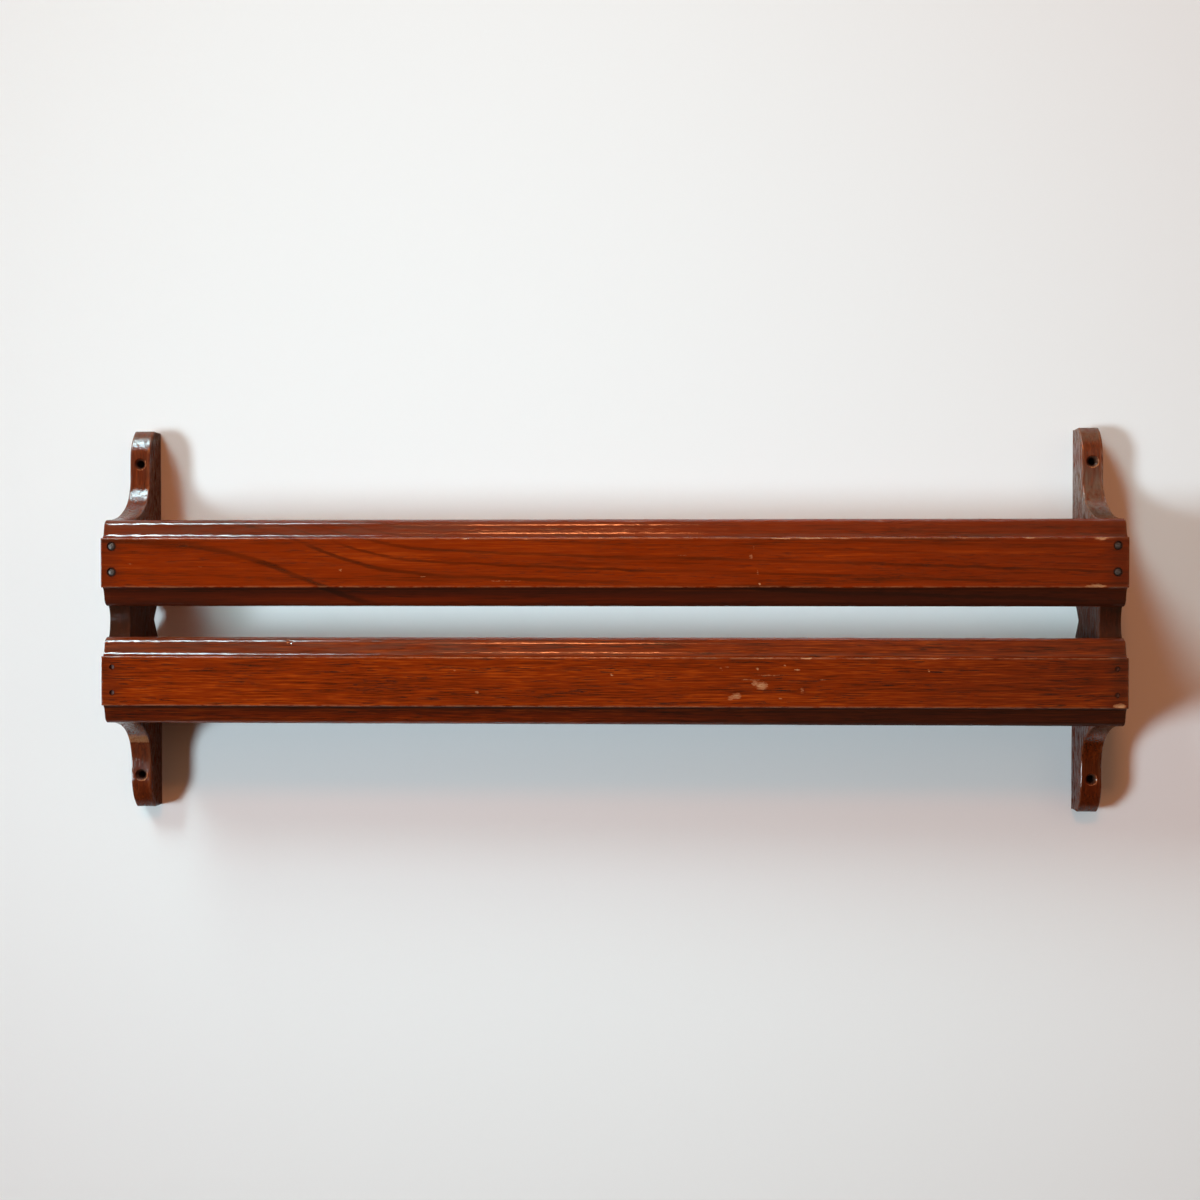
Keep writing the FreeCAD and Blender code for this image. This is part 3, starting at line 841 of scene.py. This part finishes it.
def paint_holes(mesh, places, rim, bore, ring):
    """By distance from each hole's line: a rim painted pale low on the right, partly bare wood and
    partly a painted highlight; dirt and painted shade inside the bore's radius, with dirt fading out
    to the ring's; and nothing rubbed."""
    corners = points_of(mesh)
    layers = {name: read_paint(mesh, name) for name in ("bare", "grime", "rubbed")}
    for start, direction in places:
        direction = np.array(direction, float)
        away = corners - np.array(start)
        along = away @ direction
        radius = np.linalg.norm(away - along[:, None] * direction, axis=1)
        near = (along > HOLE_STARTS) & (along < HOLE_ENDS)
        if rim:
            # The countersink's rim is pale only on its lower right: bare wood and a painted highlight
            # on the side that faces the light.
            lit_lower_right = smooth_step((away[:, 0] - away[:, 2]) / rim, -0.9, 0.7)
            on_rim = near & (radius < rim) & (radius > RIM_INNER * rim)
            layers["bare"] = np.where(on_rim, 0.5 * lit_lower_right, layers["bare"])
        # Dark inside the bore: dirt and painted shade.
        layers["grime"] = np.where(near & (radius < bore), 1.0, layers["grime"])
        if ring:
            dirt_and_shade = np.maximum(layers["grime"], smooth_step(-radius, -ring, -0.6 * ring))
            layers["grime"] = np.where(near & (along < RING_ENDS), dirt_and_shade, layers["grime"])
        unrubbed = near & (radius < max(rim, bore) + 0.3 * MM)
        layers["rubbed"] = np.where(unrubbed, 0.0, layers["rubbed"])
    for name, values in layers.items():
        mesh.attributes[name].data.foreach_set("value", values.astype(np.float32))


print("holes are painted from", round(HOLE_STARTS / MM), "to", round(HOLE_ENDS / MM), "mm deep")

# %% Drill the holes
SCREW_HEIGHT = 97 * MM
WOOD_SHARP = math.radians(32)


def carve(piece, outline, places, rim=0.0, bore=0.0, ring=0.0):
    """Drills the piece at each place and paints round the holes."""
    cut_out(piece, outline, places)
    paint_holes(piece.data, places, rim, bore, ring)
    piece.data.shade_smooth()
    piece.data.set_sharp_from_angle(angle=WOOD_SHARP)


carve(upper_rail, ROUND_POCKET, upper_nails, bore=2.6 * MM, ring=3.8 * MM)
carve(lower_rail, LOST_POCKET, lower_nails, bore=1.4 * MM, ring=2.2 * MM)
for side, bracket in ((-1, left_bracket), (1, right_bracket)):
    screw_places = [((side * BRACKET_MIDDLE, -LOBE_DEPTH, end * SCREW_HEIGHT), INTO_WALL)
                    for end in (-1, 1)]
    carve(bracket, SCREW_HOLE, screw_places, rim=4.0 * MM, bore=3.5 * MM)
    own_nails = [place for place in upper_nails if place[0][0] * side > 0]
    carve(bracket, ROUND_POCKET, own_nails)
    own_nails = [place for place in lower_nails + board_nails if place[0][0] * side > 0]
    carve(bracket, LOST_POCKET, own_nails, bore=1.6 * MM)
board.data.shade_smooth()
board.data.set_sharp_from_angle(angle=WOOD_SHARP)
wood = [upper_rail, lower_rail, left_bracket, right_bracket, board]
print("volumes in cm3:", {piece.name: round(volume_of(piece.data) * 1e6, 1) for piece in wood})

# %% [markdown]
# ## Small tools for materials
#
# A Blender material is a graph of nodes. These helpers each add one node and return its output,
# so that a finish can be written as a short sum: grain plus pores plus wear. Patterns read Object
# coordinates, in metres, so that the grain runs through the wood and comes out on its end.

# %% Add nodes with short calls
def fill_socket(tree, socket, value):
    """Links an output to the socket, or sets a plain value on it."""
    if isinstance(value, bpy.types.NodeSocket):
        tree.links.new(value, socket)
    else:
        socket.default_value = value


def calculate(tree, operation, first, second=0.0, clamp=False):
    """One Math node on two values."""
    made = tree.nodes.new("ShaderNodeMath")
    made.operation = operation
    made.use_clamp = clamp
    fill_socket(tree, made.inputs[0], first)
    fill_socket(tree, made.inputs[1], second)
    return made.outputs[0]


def times(tree, first, second):
    """Two values multiplied."""
    return calculate(tree, "MULTIPLY", first, second)


def plus(tree, first, second):
    """Two values added."""
    return calculate(tree, "ADD", first, second)


def minus(tree, first, second):
    """The second value taken from the first."""
    return calculate(tree, "SUBTRACT", first, second)


def rescaled(tree, value, from_low, from_high, to_low=0.0, to_high=1.0):
    """A value stretched from one range to another, with an S-shaped rise and nothing past it."""
    made = tree.nodes.new("ShaderNodeMapRange")
    made.interpolation_type = "SMOOTHSTEP"
    for socket, number in zip(made.inputs, (value, from_low, from_high, to_low, to_high)):
        fill_socket(tree, socket, number)
    return made.outputs[0]


print("sums are ready")


# %% Mix colours, read paint, make noise and bumps
def mixed_colour(tree, factor, first, second):
    """From the first colour at factor 0 to the second at 1."""
    made = tree.nodes.new("ShaderNodeMix")
    made.data_type = "RGBA"
    fill_socket(tree, made.inputs[0], factor)
    fill_socket(tree, made.inputs[6], first)
    fill_socket(tree, made.inputs[7], second)
    return made.outputs[2]


def painted(tree, name):
    """The number that paint() kept on the mesh under this name."""
    made = tree.nodes.new("ShaderNodeAttribute")
    made.attribute_name = name
    return made.outputs["Fac"]


def stretched_noise(tree, coordinates, size, detail=2.0, roughness=0.5, shift=(0, 0, 0)):
    """Noise whose blotches are this long along X, Y and Z, in metres."""
    place = tree.nodes.new("ShaderNodeMapping")
    fill_socket(tree, place.inputs["Vector"], coordinates)
    place.inputs["Location"].default_value = shift
    place.inputs["Scale"].default_value = [1 / length for length in size]
    made = tree.nodes.new("ShaderNodeTexNoise")
    made.inputs["Scale"].default_value = 1.0
    made.inputs["Detail"].default_value = detail
    made.inputs["Roughness"].default_value = roughness
    tree.links.new(place.outputs[0], made.inputs["Vector"])
    return made.outputs["Fac"]


def object_coordinates(tree):
    """Places on the piece, in metres."""
    return tree.nodes.new("ShaderNodeTexCoord").outputs["Object"]


def bumped(tree, height, distance):
    """A normal that leans as if the surface were raised by height times this distance."""
    bump = tree.nodes.new("ShaderNodeBump")
    bump.inputs["Distance"].default_value = distance
    tree.links.new(height, bump.inputs["Height"])
    return bump.outputs[0]


def new_material(name):
    """An empty material with its shader, and the node tree to fill."""
    material = bpy.data.materials.new(name)
    material.use_nodes = True
    tree = material.node_tree
    tree.nodes.clear()
    shader = tree.nodes.new("ShaderNodeBsdfPrincipled")
    output = tree.nodes.new("ShaderNodeOutputMaterial")
    tree.links.new(shader.outputs[0], output.inputs["Surface"])
    return material, tree, shader


print("material tools are ready")

# %% [markdown]
# ## Stained and varnished wood
#
# Up close the wood shows several things at once: broad soft bands of darker and lighter stain,
# fine fibres, short dark pores, and dark growth lines where the summer's wood ends. Over that
# lies a dull film with a painted greyish sheen, stain rubbed thin along the edges, bare wood in the
# chips, and old dirt with painted shade in the hollows and on faces turned from the light. The
# varnish is a second, smoother layer of gloss, so the shader's Coat is used for it.

# %% Colours of the stain, as red, green and blue light: dark, middle and light
RAIL_STAIN = [(0.078, 0.0090, 0.0010, 1), (0.184, 0.0165, 0.0008, 1), (0.290, 0.0350, 0.0022, 1)]
BRACKET_STAIN = [(0.045, 0.0070, 0.0012, 1), (0.105, 0.0130, 0.0016, 1), (0.185, 0.0280, 0.0040, 1)]
ORANGE_STAIN = [(0.062, 0.0085, 0.0012, 1), (0.180, 0.0175, 0.0010, 1), (0.335, 0.0480, 0.0030, 1)]
RUBBED_STAIN = (0.36, 0.125, 0.050, 1)
BARE_WOOD = (0.41, 0.19, 0.085, 1)
# The darkest colour below is for pores, dirt and painted shade; the grey-brown after it is for a dull
# film and a painted sheen.
DIRT_AND_SHADE = (0.022, 0.010, 0.006, 1)
DULL_FILM_AND_SHEEN = (0.120, 0.075, 0.050, 1)


print("colours are ready")

# %% Patterns of the grain: length along it and width across it in metres, detail, roughness
BANDS = (0.16, 0.011, 2.0, 0.5)
STREAKS = (0.06, 0.0017, 2.0, 0.55)
FIBRES = (0.024, 0.0008, 3.0, 0.6)
THREADS = (0.014, 0.0005, 2.0, 0.5)
PORES = (0.009, 0.00042, 1.0, 0.5)
PORE_ZONES = (0.05, 0.004, 1.0, 0.5)
RUBBED_PATCHES = (0.006, 0.002, 3.0, 0.6)
HAZE = (0.020, 0.0026, 3.0, 0.6)
GLOSS_BREAKS = (0.006, 0.0008, 2.0, 0.5)
BRUSH_MARKS = (0.0026, 0.0006, 3.0, 0.7)


def grain(tree, where, pattern, direction, shift):
    """One pattern as noise, stretched along X or Z."""
    along, across, detail, roughness = pattern
    size = (along, across, across) if direction == "X" else (across, across, along)
    return stretched_noise(tree, where, size, detail, roughness, shift)


def stained(tree, layers, stain, weights):
    """Dark, middle or light stain by the weighted sum of the layers, each less 0.5."""
    tone = 0.0
    for layer, weight in zip(layers, weights):
        tone = plus(tree, times(tree, minus(tree, layer, 0.5), weight), tone)
    dark, middle, light = stain
    colour = mixed_colour(tree, rescaled(tree, tone, -0.26, 0.02), dark, middle)
    return mixed_colour(tree, rescaled(tree, tone, 0.0, 0.28), colour, light)


print("grain tools are ready")

# %% Put a whole finish together
WOOD_BUMP = 0.00010
VARNISH_BUMP = 0.00005


def varnished_wood(name, direction, shift, stain, weights, growth_lines=None, depth=1.0, pores=0.6,
                   mottle=0.8, softness=0.055, thinnest=0.35):
    """Stain, then growth lines and pores, then dull film with painted sheen, rubbing, dirt with
    painted shade, and chips where they were painted. Depth is how strong the bump is, mottle how
    much brush marks turn the gloss about, softness the gloss's roughness, and thinnest its least
    strength."""
    material, tree, shader = new_material(name)
    where = object_coordinates(tree)
    layers = [grain(tree, where, pattern, direction, shift)
              for pattern in (BANDS, STREAKS, FIBRES, THREADS)]
    pore, pore_zone, patchy, hazy, unbroken, ragged = (
        grain(tree, where, pattern, direction, shift)
        for pattern in (PORES, PORE_ZONES, RUBBED_PATCHES, HAZE, GLOSS_BREAKS, BRUSH_MARKS))
    fibres, threads = layers[2:]

    colour = stained(tree, layers, stain, weights)
    if growth_lines:
        colour = mixed_colour(tree, growth_lines(tree, where), colour, stain[0])
    pore = times(tree, rescaled(tree, pore, 0.59, 0.66), rescaled(tree, pore_zone, 0.40, 0.60))
    colour = mixed_colour(tree, times(tree, pore, pores), colour, DIRT_AND_SHADE)
    # A dull film with a painted greyish sheen, where it was painted.
    film = times(tree, painted(tree, "film"), rescaled(tree, hazy, 0.15, 0.75))
    colour = mixed_colour(tree, film, colour, DULL_FILM_AND_SHEEN)
    rub = times(tree, painted(tree, "rubbed"), rescaled(tree, patchy, 0.32, 0.62))
    colour = mixed_colour(tree, times(tree, rub, 0.8), colour, RUBBED_STAIN)
    # Dirt and painted shade, where they were painted; they also dull the varnish below.
    dirt_and_shade = times(tree, painted(tree, "grime"), 0.85)
    colour = mixed_colour(tree, dirt_and_shade, colour, DIRT_AND_SHADE)
    worn = plus(tree, painted(tree, "bare"), ragged)
    border = times(tree, rescaled(tree, worn, 0.76, 0.98), 0.85)
    colour = mixed_colour(tree, border, colour, RUBBED_STAIN)
    chipped = rescaled(tree, worn, 1.0, 1.12)
    colour = mixed_colour(tree, chipped, colour, BARE_WOOD)
    tree.links.new(colour, shader.inputs["Base Color"])

    rough = plus(tree, rescaled(tree, fibres, 0.3, 0.7, 0.45, 0.60), times(tree, chipped, 0.3))
    tree.links.new(rough, shader.inputs["Roughness"])
    hidden = calculate(tree, "MAXIMUM", chipped, dirt_and_shade)
    gloss = calculate(tree, "SUBTRACT", 1.0, hidden, clamp=True)
    gloss = times(tree, gloss, rescaled(tree, unbroken, 0.40, 0.52, thinnest, 1.0))
    tree.links.new(gloss, shader.inputs["Coat Weight"])
    shader.inputs["Coat Roughness"].default_value = softness
    shader.inputs["Coat IOR"].default_value = 1.8
    shader.inputs["Specular IOR Level"].default_value = 0.0

    ridges = plus(tree, times(tree, fibres, 0.6), times(tree, threads, 0.35))
    height = minus(tree, ridges, times(tree, pore, 0.9))
    height = minus(tree, height, times(tree, chipped, 1.5))
    tree.links.new(bumped(tree, height, WOOD_BUMP * depth), shader.inputs["Normal"])
    brushed = plus(tree, ridges, times(tree, ragged, mottle))
    tree.links.new(bumped(tree, brushed, VARNISH_BUMP * depth), shader.inputs["Coat Normal"])
    return material


print("the wood finish is ready")

# %% [markdown]
# ## Growth lines of the upper rail
#
# The board for the upper rail was cut a little across the trunk, so its growth lines cross the
# fascia. They come in from the top left, fall to the right, and level out along the rail. A line
# is a place where height + slope * x + fall * tanh((x - bend) / width) has one value, because
# tanh is a smooth step: level, then falling, then level again. The lines also lean a little as
# they go into the wood, and two noises make them wobble and fray.

# %% Work out the growth lines: middle of each as a share of the span, half width, strength
LINE_BEND = -0.180
LINE_WIDTH = 0.0486
LINE_FALL = 0.018
LINE_SLOPE = 0.03
LINE_LEAN = 0.35
LINE_WOBBLE = 0.0035
LINE_FRAY = 0.0014
RING_START = 0.00245
RING_SPAN = 0.100
RING_LINES = [(0.209, 0.024, 1.0), (0.413, 0.016, 0.9), (0.492, 0.012, 0.8), (0.565, 0.013, 0.8),
              (0.640, 0.010, 0.4), (0.700, 0.014, 0.5)]


def upper_rail_lines(tree, where):
    """1 on a growth line, 0 between: a colour ramp over the value that the text above gives."""
    split = tree.nodes.new("ShaderNodeSeparateXYZ")
    tree.links.new(where, split.inputs[0])
    x, y, z = split.outputs
    from_bend = calculate(tree, "DIVIDE", minus(tree, x, LINE_BEND), LINE_WIDTH)
    fall = times(tree, calculate(tree, "TANH", from_bend), LINE_FALL)
    ring = plus(tree, plus(tree, z, fall), times(tree, x, LINE_SLOPE))
    ring = plus(tree, ring, times(tree, y, LINE_LEAN))
    wobble = stretched_noise(tree, where, (0.05, 0.02, 0.02), 2.0)
    fray = stretched_noise(tree, where, (0.010, 0.0012, 0.0012), 2.0)
    ring = plus(tree, ring, times(tree, wobble, LINE_WOBBLE))
    ring = plus(tree, ring, times(tree, fray, LINE_FRAY))
    ring = minus(tree, ring, RING_START - LINE_LEAN * FASCIA_FRONT)
    share = calculate(tree, "DIVIDE", ring, RING_SPAN)
    result = 0.0
    for middle, width, strength in RING_LINES:
        away = calculate(tree, "ABSOLUTE", minus(tree, share, middle))
        line = rescaled(tree, away, width, width * 0.25, 0.0, strength)
        result = calculate(tree, "MAXIMUM", result, line)
    patches = stretched_noise(tree, where, (0.06, 0.008, 0.008), 1.0)
    return times(tree, result, rescaled(tree, patches, 0.30, 0.60, 0.35, 1.0))


print(len(RING_LINES), "growth lines")

# %% Make the wood finishes
upper_wood = varnished_wood("upper_rail_varnish", "X", shift=(0, 0, 0), stain=RAIL_STAIN,
                            weights=(0.6, 0.35, 0.45, 0.3), growth_lines=upper_rail_lines,
                            pores=0.45)
lower_wood = varnished_wood("lower_rail_varnish", "X", shift=(3.1, 1.7, 0.4), stain=ORANGE_STAIN,
                            weights=(0.30, 0.40, 0.80, 0.65), pores=0.8)
bracket_wood = varnished_wood("bracket_varnish", "Z", shift=(1.3, 5.2, 2.2), stain=BRACKET_STAIN,
                              weights=(0.6, 0.5, 0.8, 0.3), depth=1.6, mottle=1.4, softness=0.09,
                              thinnest=0.0)
board_wood = varnished_wood("board_varnish", "X", shift=(7.4, 2.8, 9.1), stain=BRACKET_STAIN,
                            weights=(0.8, 0.5, 0.8, 0.3))
print("wood finishes:", [m.name for m in (upper_wood, lower_wood, bracket_wood, board_wood)])

# %% [markdown]
# ## Nail metal
#
# The round heads on the upper rail are dull steel with brown specks, worn a little brighter on
# the crown. The sunk heads are dark: they were stained and varnished over with the wood.

# %% Make the nail metals
SPOT_SIZE = (0.0009, 0.0009, 0.0009)
HAMMERED = 0.00012


def nail_metal(name, clean, rust, roughness, metallic):
    """Colour from clean to rusty by fine noise, with a hammered bump."""
    material, tree, shader = new_material(name)
    where = object_coordinates(tree)
    spots = stretched_noise(tree, where, SPOT_SIZE, 3.0, 0.6)
    rusty = calculate(tree, "MAXIMUM", rescaled(tree, spots, 0.42, 0.62), painted(tree, "rim"))
    tree.links.new(mixed_colour(tree, rusty, clean, rust), shader.inputs["Base Color"])
    rough = rescaled(tree, spots, 0.3, 0.7, roughness, roughness + 0.25)
    tree.links.new(rough, shader.inputs["Roughness"])
    shader.inputs["Metallic"].default_value = metallic
    tree.links.new(bumped(tree, spots, HAMMERED), shader.inputs["Normal"])
    return material


bright_metal = nail_metal("dull_steel", clean=(0.088, 0.074, 0.064, 1), rust=(0.036, 0.020, 0.013, 1),
                          roughness=0.4, metallic=0.5)
dark_metal = nail_metal("stained_over_steel", clean=(0.075, 0.018, 0.007, 1),
                        rust=(0.040, 0.011, 0.005, 1), roughness=0.45, metallic=0.1)
print("nail metals:", bright_metal.name, dark_metal.name)

# %% [markdown]
# ## Give every piece its finish and its place in the rack
#
# Each piece rides on the rack's one body, stands in for its CAD node, whose mesh is hidden, and
# gets its material.

# %% Finish and attach
wood_pieces = [
    (upper_rail, upper_wood, "upper_rail", "rail_wood"),
    (lower_rail, lower_wood, "lower_rail", "rail_wood"),
    (left_bracket, bracket_wood, "left_bracket", "bracket_wood"),
    (right_bracket, bracket_wood, "right_bracket", "bracket_wood"),
    (board, board_wood, "bottom_board", "board_wood"),
]
nail_pieces = [(nails[name], bright_metal if slot == "bright_nail" else dark_metal, node, slot)
               for name, _, _, node, slot in nail_sets]
for piece, material, node, slot in wood_pieces + nail_pieces:
    piece.data.materials.clear()
    piece.data.materials.append(material)
    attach(piece, "root")
    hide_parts(node)
print(len(wood_pieces + nail_pieces), "pieces attached")

# %% [markdown]
# ## Wall, floor and background
#
# The rack hangs on a plain pale wall, which is what catches its shadows. The wall is one sheet
# that shows only its front: seen from behind it is clear, so that the rack's back can be looked
# at too. A plain pale floor lies well below. It has an even tone of its own, which the warm lamp
# does not colour, and it throws no light back on the rack. Neither is part of the rack.

# %% Set the stage
def flat_sheet(name, corners):
    """One four-sided sheet."""
    mesh = bpy.data.meshes.new(name)
    mesh.from_pydata(corners, [], [(0, 1, 2, 3)])
    sheet = add_piece(name, mesh)
    return sheet


WALL_GAP = 0.3 * MM
WALL_HALF = 3.0
FLOOR_HEIGHT = -0.9
wall = flat_sheet("wall", [
    (-WALL_HALF, WALL_GAP, FLOOR_HEIGHT), (WALL_HALF, WALL_GAP, FLOOR_HEIGHT),
    (WALL_HALF, WALL_GAP, WALL_HALF), (-WALL_HALF, WALL_GAP, WALL_HALF)])
floor = flat_sheet("floor", [
    (-WALL_HALF, -WALL_HALF, FLOOR_HEIGHT), (WALL_HALF, -WALL_HALF, FLOOR_HEIGHT),
    (WALL_HALF, WALL_HALF, FLOOR_HEIGHT), (-WALL_HALF, WALL_HALF, FLOOR_HEIGHT)])


def pale_paint(name, shader_kind, colour, one_sided):
    """One plain colour, from this kind of shader; if one-sided, clear where its back is seen."""
    material = bpy.data.materials.new(name)
    material.use_nodes = True
    tree = material.node_tree
    tree.nodes.clear()
    paint_shader = tree.nodes.new(shader_kind)
    paint_shader.inputs["Color"].default_value = colour
    output = tree.nodes.new("ShaderNodeOutputMaterial")
    shader = paint_shader.outputs[0]
    if one_sided:
        clear = tree.nodes.new("ShaderNodeBsdfTransparent")
        side = tree.nodes.new("ShaderNodeNewGeometry")
        choose = tree.nodes.new("ShaderNodeMixShader")
        tree.links.new(side.outputs["Backfacing"], choose.inputs[0])
        tree.links.new(paint_shader.outputs[0], choose.inputs[1])
        tree.links.new(clear.outputs[0], choose.inputs[2])
        shader = choose.outputs[0]
    tree.links.new(shader, output.inputs["Surface"])
    return material


WALL_PAINT = pale_paint("wall_paint", "ShaderNodeBsdfDiffuse", (0.77, 0.79, 0.78, 1), True)
FLOOR_PAINT = pale_paint("floor_paint", "ShaderNodeEmission", (0.62, 0.61, 0.59, 1), False)
wall.data.materials.append(WALL_PAINT)
floor.data.materials.append(FLOOR_PAINT)
wall.visible_shadow = False
floor.visible_diffuse = False
floor.visible_glossy = False
print("stage:", wall.name, floor.name)

# %% [markdown]
# ## Light
#
# The photograph is lit by a cool window high on the left, which gives the white streaks on the
# mouldings' left half, by weaker cool light from low on the left, by a warm lamp high in front and
# by a faint glow from the right. One more lamp fills the back. Each is an area lamp, set by
# the direction it comes from as seen from the rack, so that it can be matched to the edges of the
# shadows on the wall.

# %% Place the lamps
def from_angles(left, up):
    """Direction from the rack that is turned left from straight out, then tilted up, in degrees."""
    left, up = math.radians(left), math.radians(up)
    return (-math.sin(left) * math.cos(up), -math.cos(left) * math.cos(up), math.sin(up))


def area_lamp(name, direction, distance, width, height, power, colour, spread=180, target=(0, 0, 0)):
    """A soft lamp that stands off in this direction and faces the target. A spread under 180
    degrees keeps its light together, so that it falls off away from the target."""
    lamp = bpy.data.lights.new(name, "AREA")
    lamp.shape = "RECTANGLE"
    lamp.size = width
    lamp.size_y = height
    lamp.energy = power
    lamp.color = colour
    lamp.spread = math.radians(spread)
    holder = bpy.data.objects.new(name, lamp)
    bpy.context.scene.collection.objects.link(holder)
    away = np.array(direction) / np.linalg.norm(direction)
    holder.location = np.array(target) + away * distance
    holder.rotation_mode = "QUATERNION"
    holder.rotation_quaternion = (holder.location - Vector(target)).to_track_quat("Z", "Y")


RIGHT_OF_MIDDLE = (0.2, 0, 0)
area_lamp("high_window", from_angles(50, 48), distance=2.66, width=0.35, height=1.3, power=5.9,
          colour=(0.66, 0.94, 1.0), spread=50, target=RIGHT_OF_MIDDLE)
area_lamp("low_window", from_angles(52.6, -6), distance=2.99, width=0.45, height=0.8, power=6.7,
          colour=(0.70, 0.87, 0.97), spread=50, target=RIGHT_OF_MIDDLE)
area_lamp("right_glow", from_angles(-50, 10), distance=2.6, width=1.2, height=1.2, power=3.2,
          colour=(0.92, 1.0, 0.95))
area_lamp("ceiling_lamp", from_angles(5, 38), distance=2.4, width=0.35, height=0.35, power=12,
          colour=(1.0, 0.31, 0.11))
area_lamp("back_fill", (0.10, 0.95, 0.15), distance=2.6, width=1.6, height=1.6, power=25,
          colour=(1.0, 0.98, 0.95))

# %% [markdown]
# ## The room's own glow
#
# Light also comes dimly from all round: warm, and brighter from above than from below. What the
# camera sees behind the rack is another, plain pale tone, so the world has two backgrounds, and
# the kind of ray chooses between them.

# %% Fill the room
GLOW_BELOW = 0.06
GLOW_ABOVE = 0.34
world = bpy.data.worlds.new("soft_room")
bpy.context.scene.world = world
world.use_nodes = True
tree = world.node_tree
tree.nodes.clear()
seen = tree.nodes.new("ShaderNodeBackground")
seen.inputs["Color"].default_value = (0.80, 0.80, 0.79, 1)
seen.inputs["Strength"].default_value = 0.9
lit = tree.nodes.new("ShaderNodeBackground")
lit.inputs["Color"].default_value = (1.0, 0.36, 0.13, 1)
towards = tree.nodes.new("ShaderNodeTexCoord").outputs["Generated"]
split = tree.nodes.new("ShaderNodeSeparateXYZ")
tree.links.new(towards, split.inputs[0])
glow = rescaled(tree, split.outputs[2], -0.5, 0.5, GLOW_BELOW, GLOW_ABOVE)
tree.links.new(glow, lit.inputs["Strength"])
ray = tree.nodes.new("ShaderNodeLightPath")
choose = tree.nodes.new("ShaderNodeMixShader")
output = tree.nodes.new("ShaderNodeOutputWorld")
tree.links.new(ray.outputs["Is Camera Ray"], choose.inputs[0])
tree.links.new(lit.outputs[0], choose.inputs[1])
tree.links.new(seen.outputs[0], choose.inputs[2])
tree.links.new(choose.outputs[0], output.inputs["Surface"])
bpy.context.scene.view_settings.view_transform = "Standard"
print("world:", world.name)

# %% [markdown]
# ## Camera
#
# The camera stands nearly level with the rack and a little to the right of its middle, 0.88 m
# from the wall. The place, turn and lens were worked out from where the rack's corners lie in the
# photograph.

# %% Place the camera
CAMERA_PLACE = (0.0245, -0.883, 0.024)
CAMERA_YAW = math.radians(-2.057)
CAMERA_PITCH = math.radians(-0.766)
FOCAL_LENGTH_MM = 42.0
SENSOR_WIDTH_MM = 36.0
lens = bpy.data.cameras.new("photo_view")
lens.lens = FOCAL_LENGTH_MM
lens.sensor_width = SENSOR_WIDTH_MM
camera = bpy.data.objects.new("photo_view", lens)
bpy.context.scene.collection.objects.link(camera)
camera.location = CAMERA_PLACE
camera.rotation_euler = (math.pi / 2 + CAMERA_PITCH, 0, -CAMERA_YAW)
lens.clip_start = 0.01
bpy.context.scene.camera = camera
print("camera at", CAMERA_PLACE)
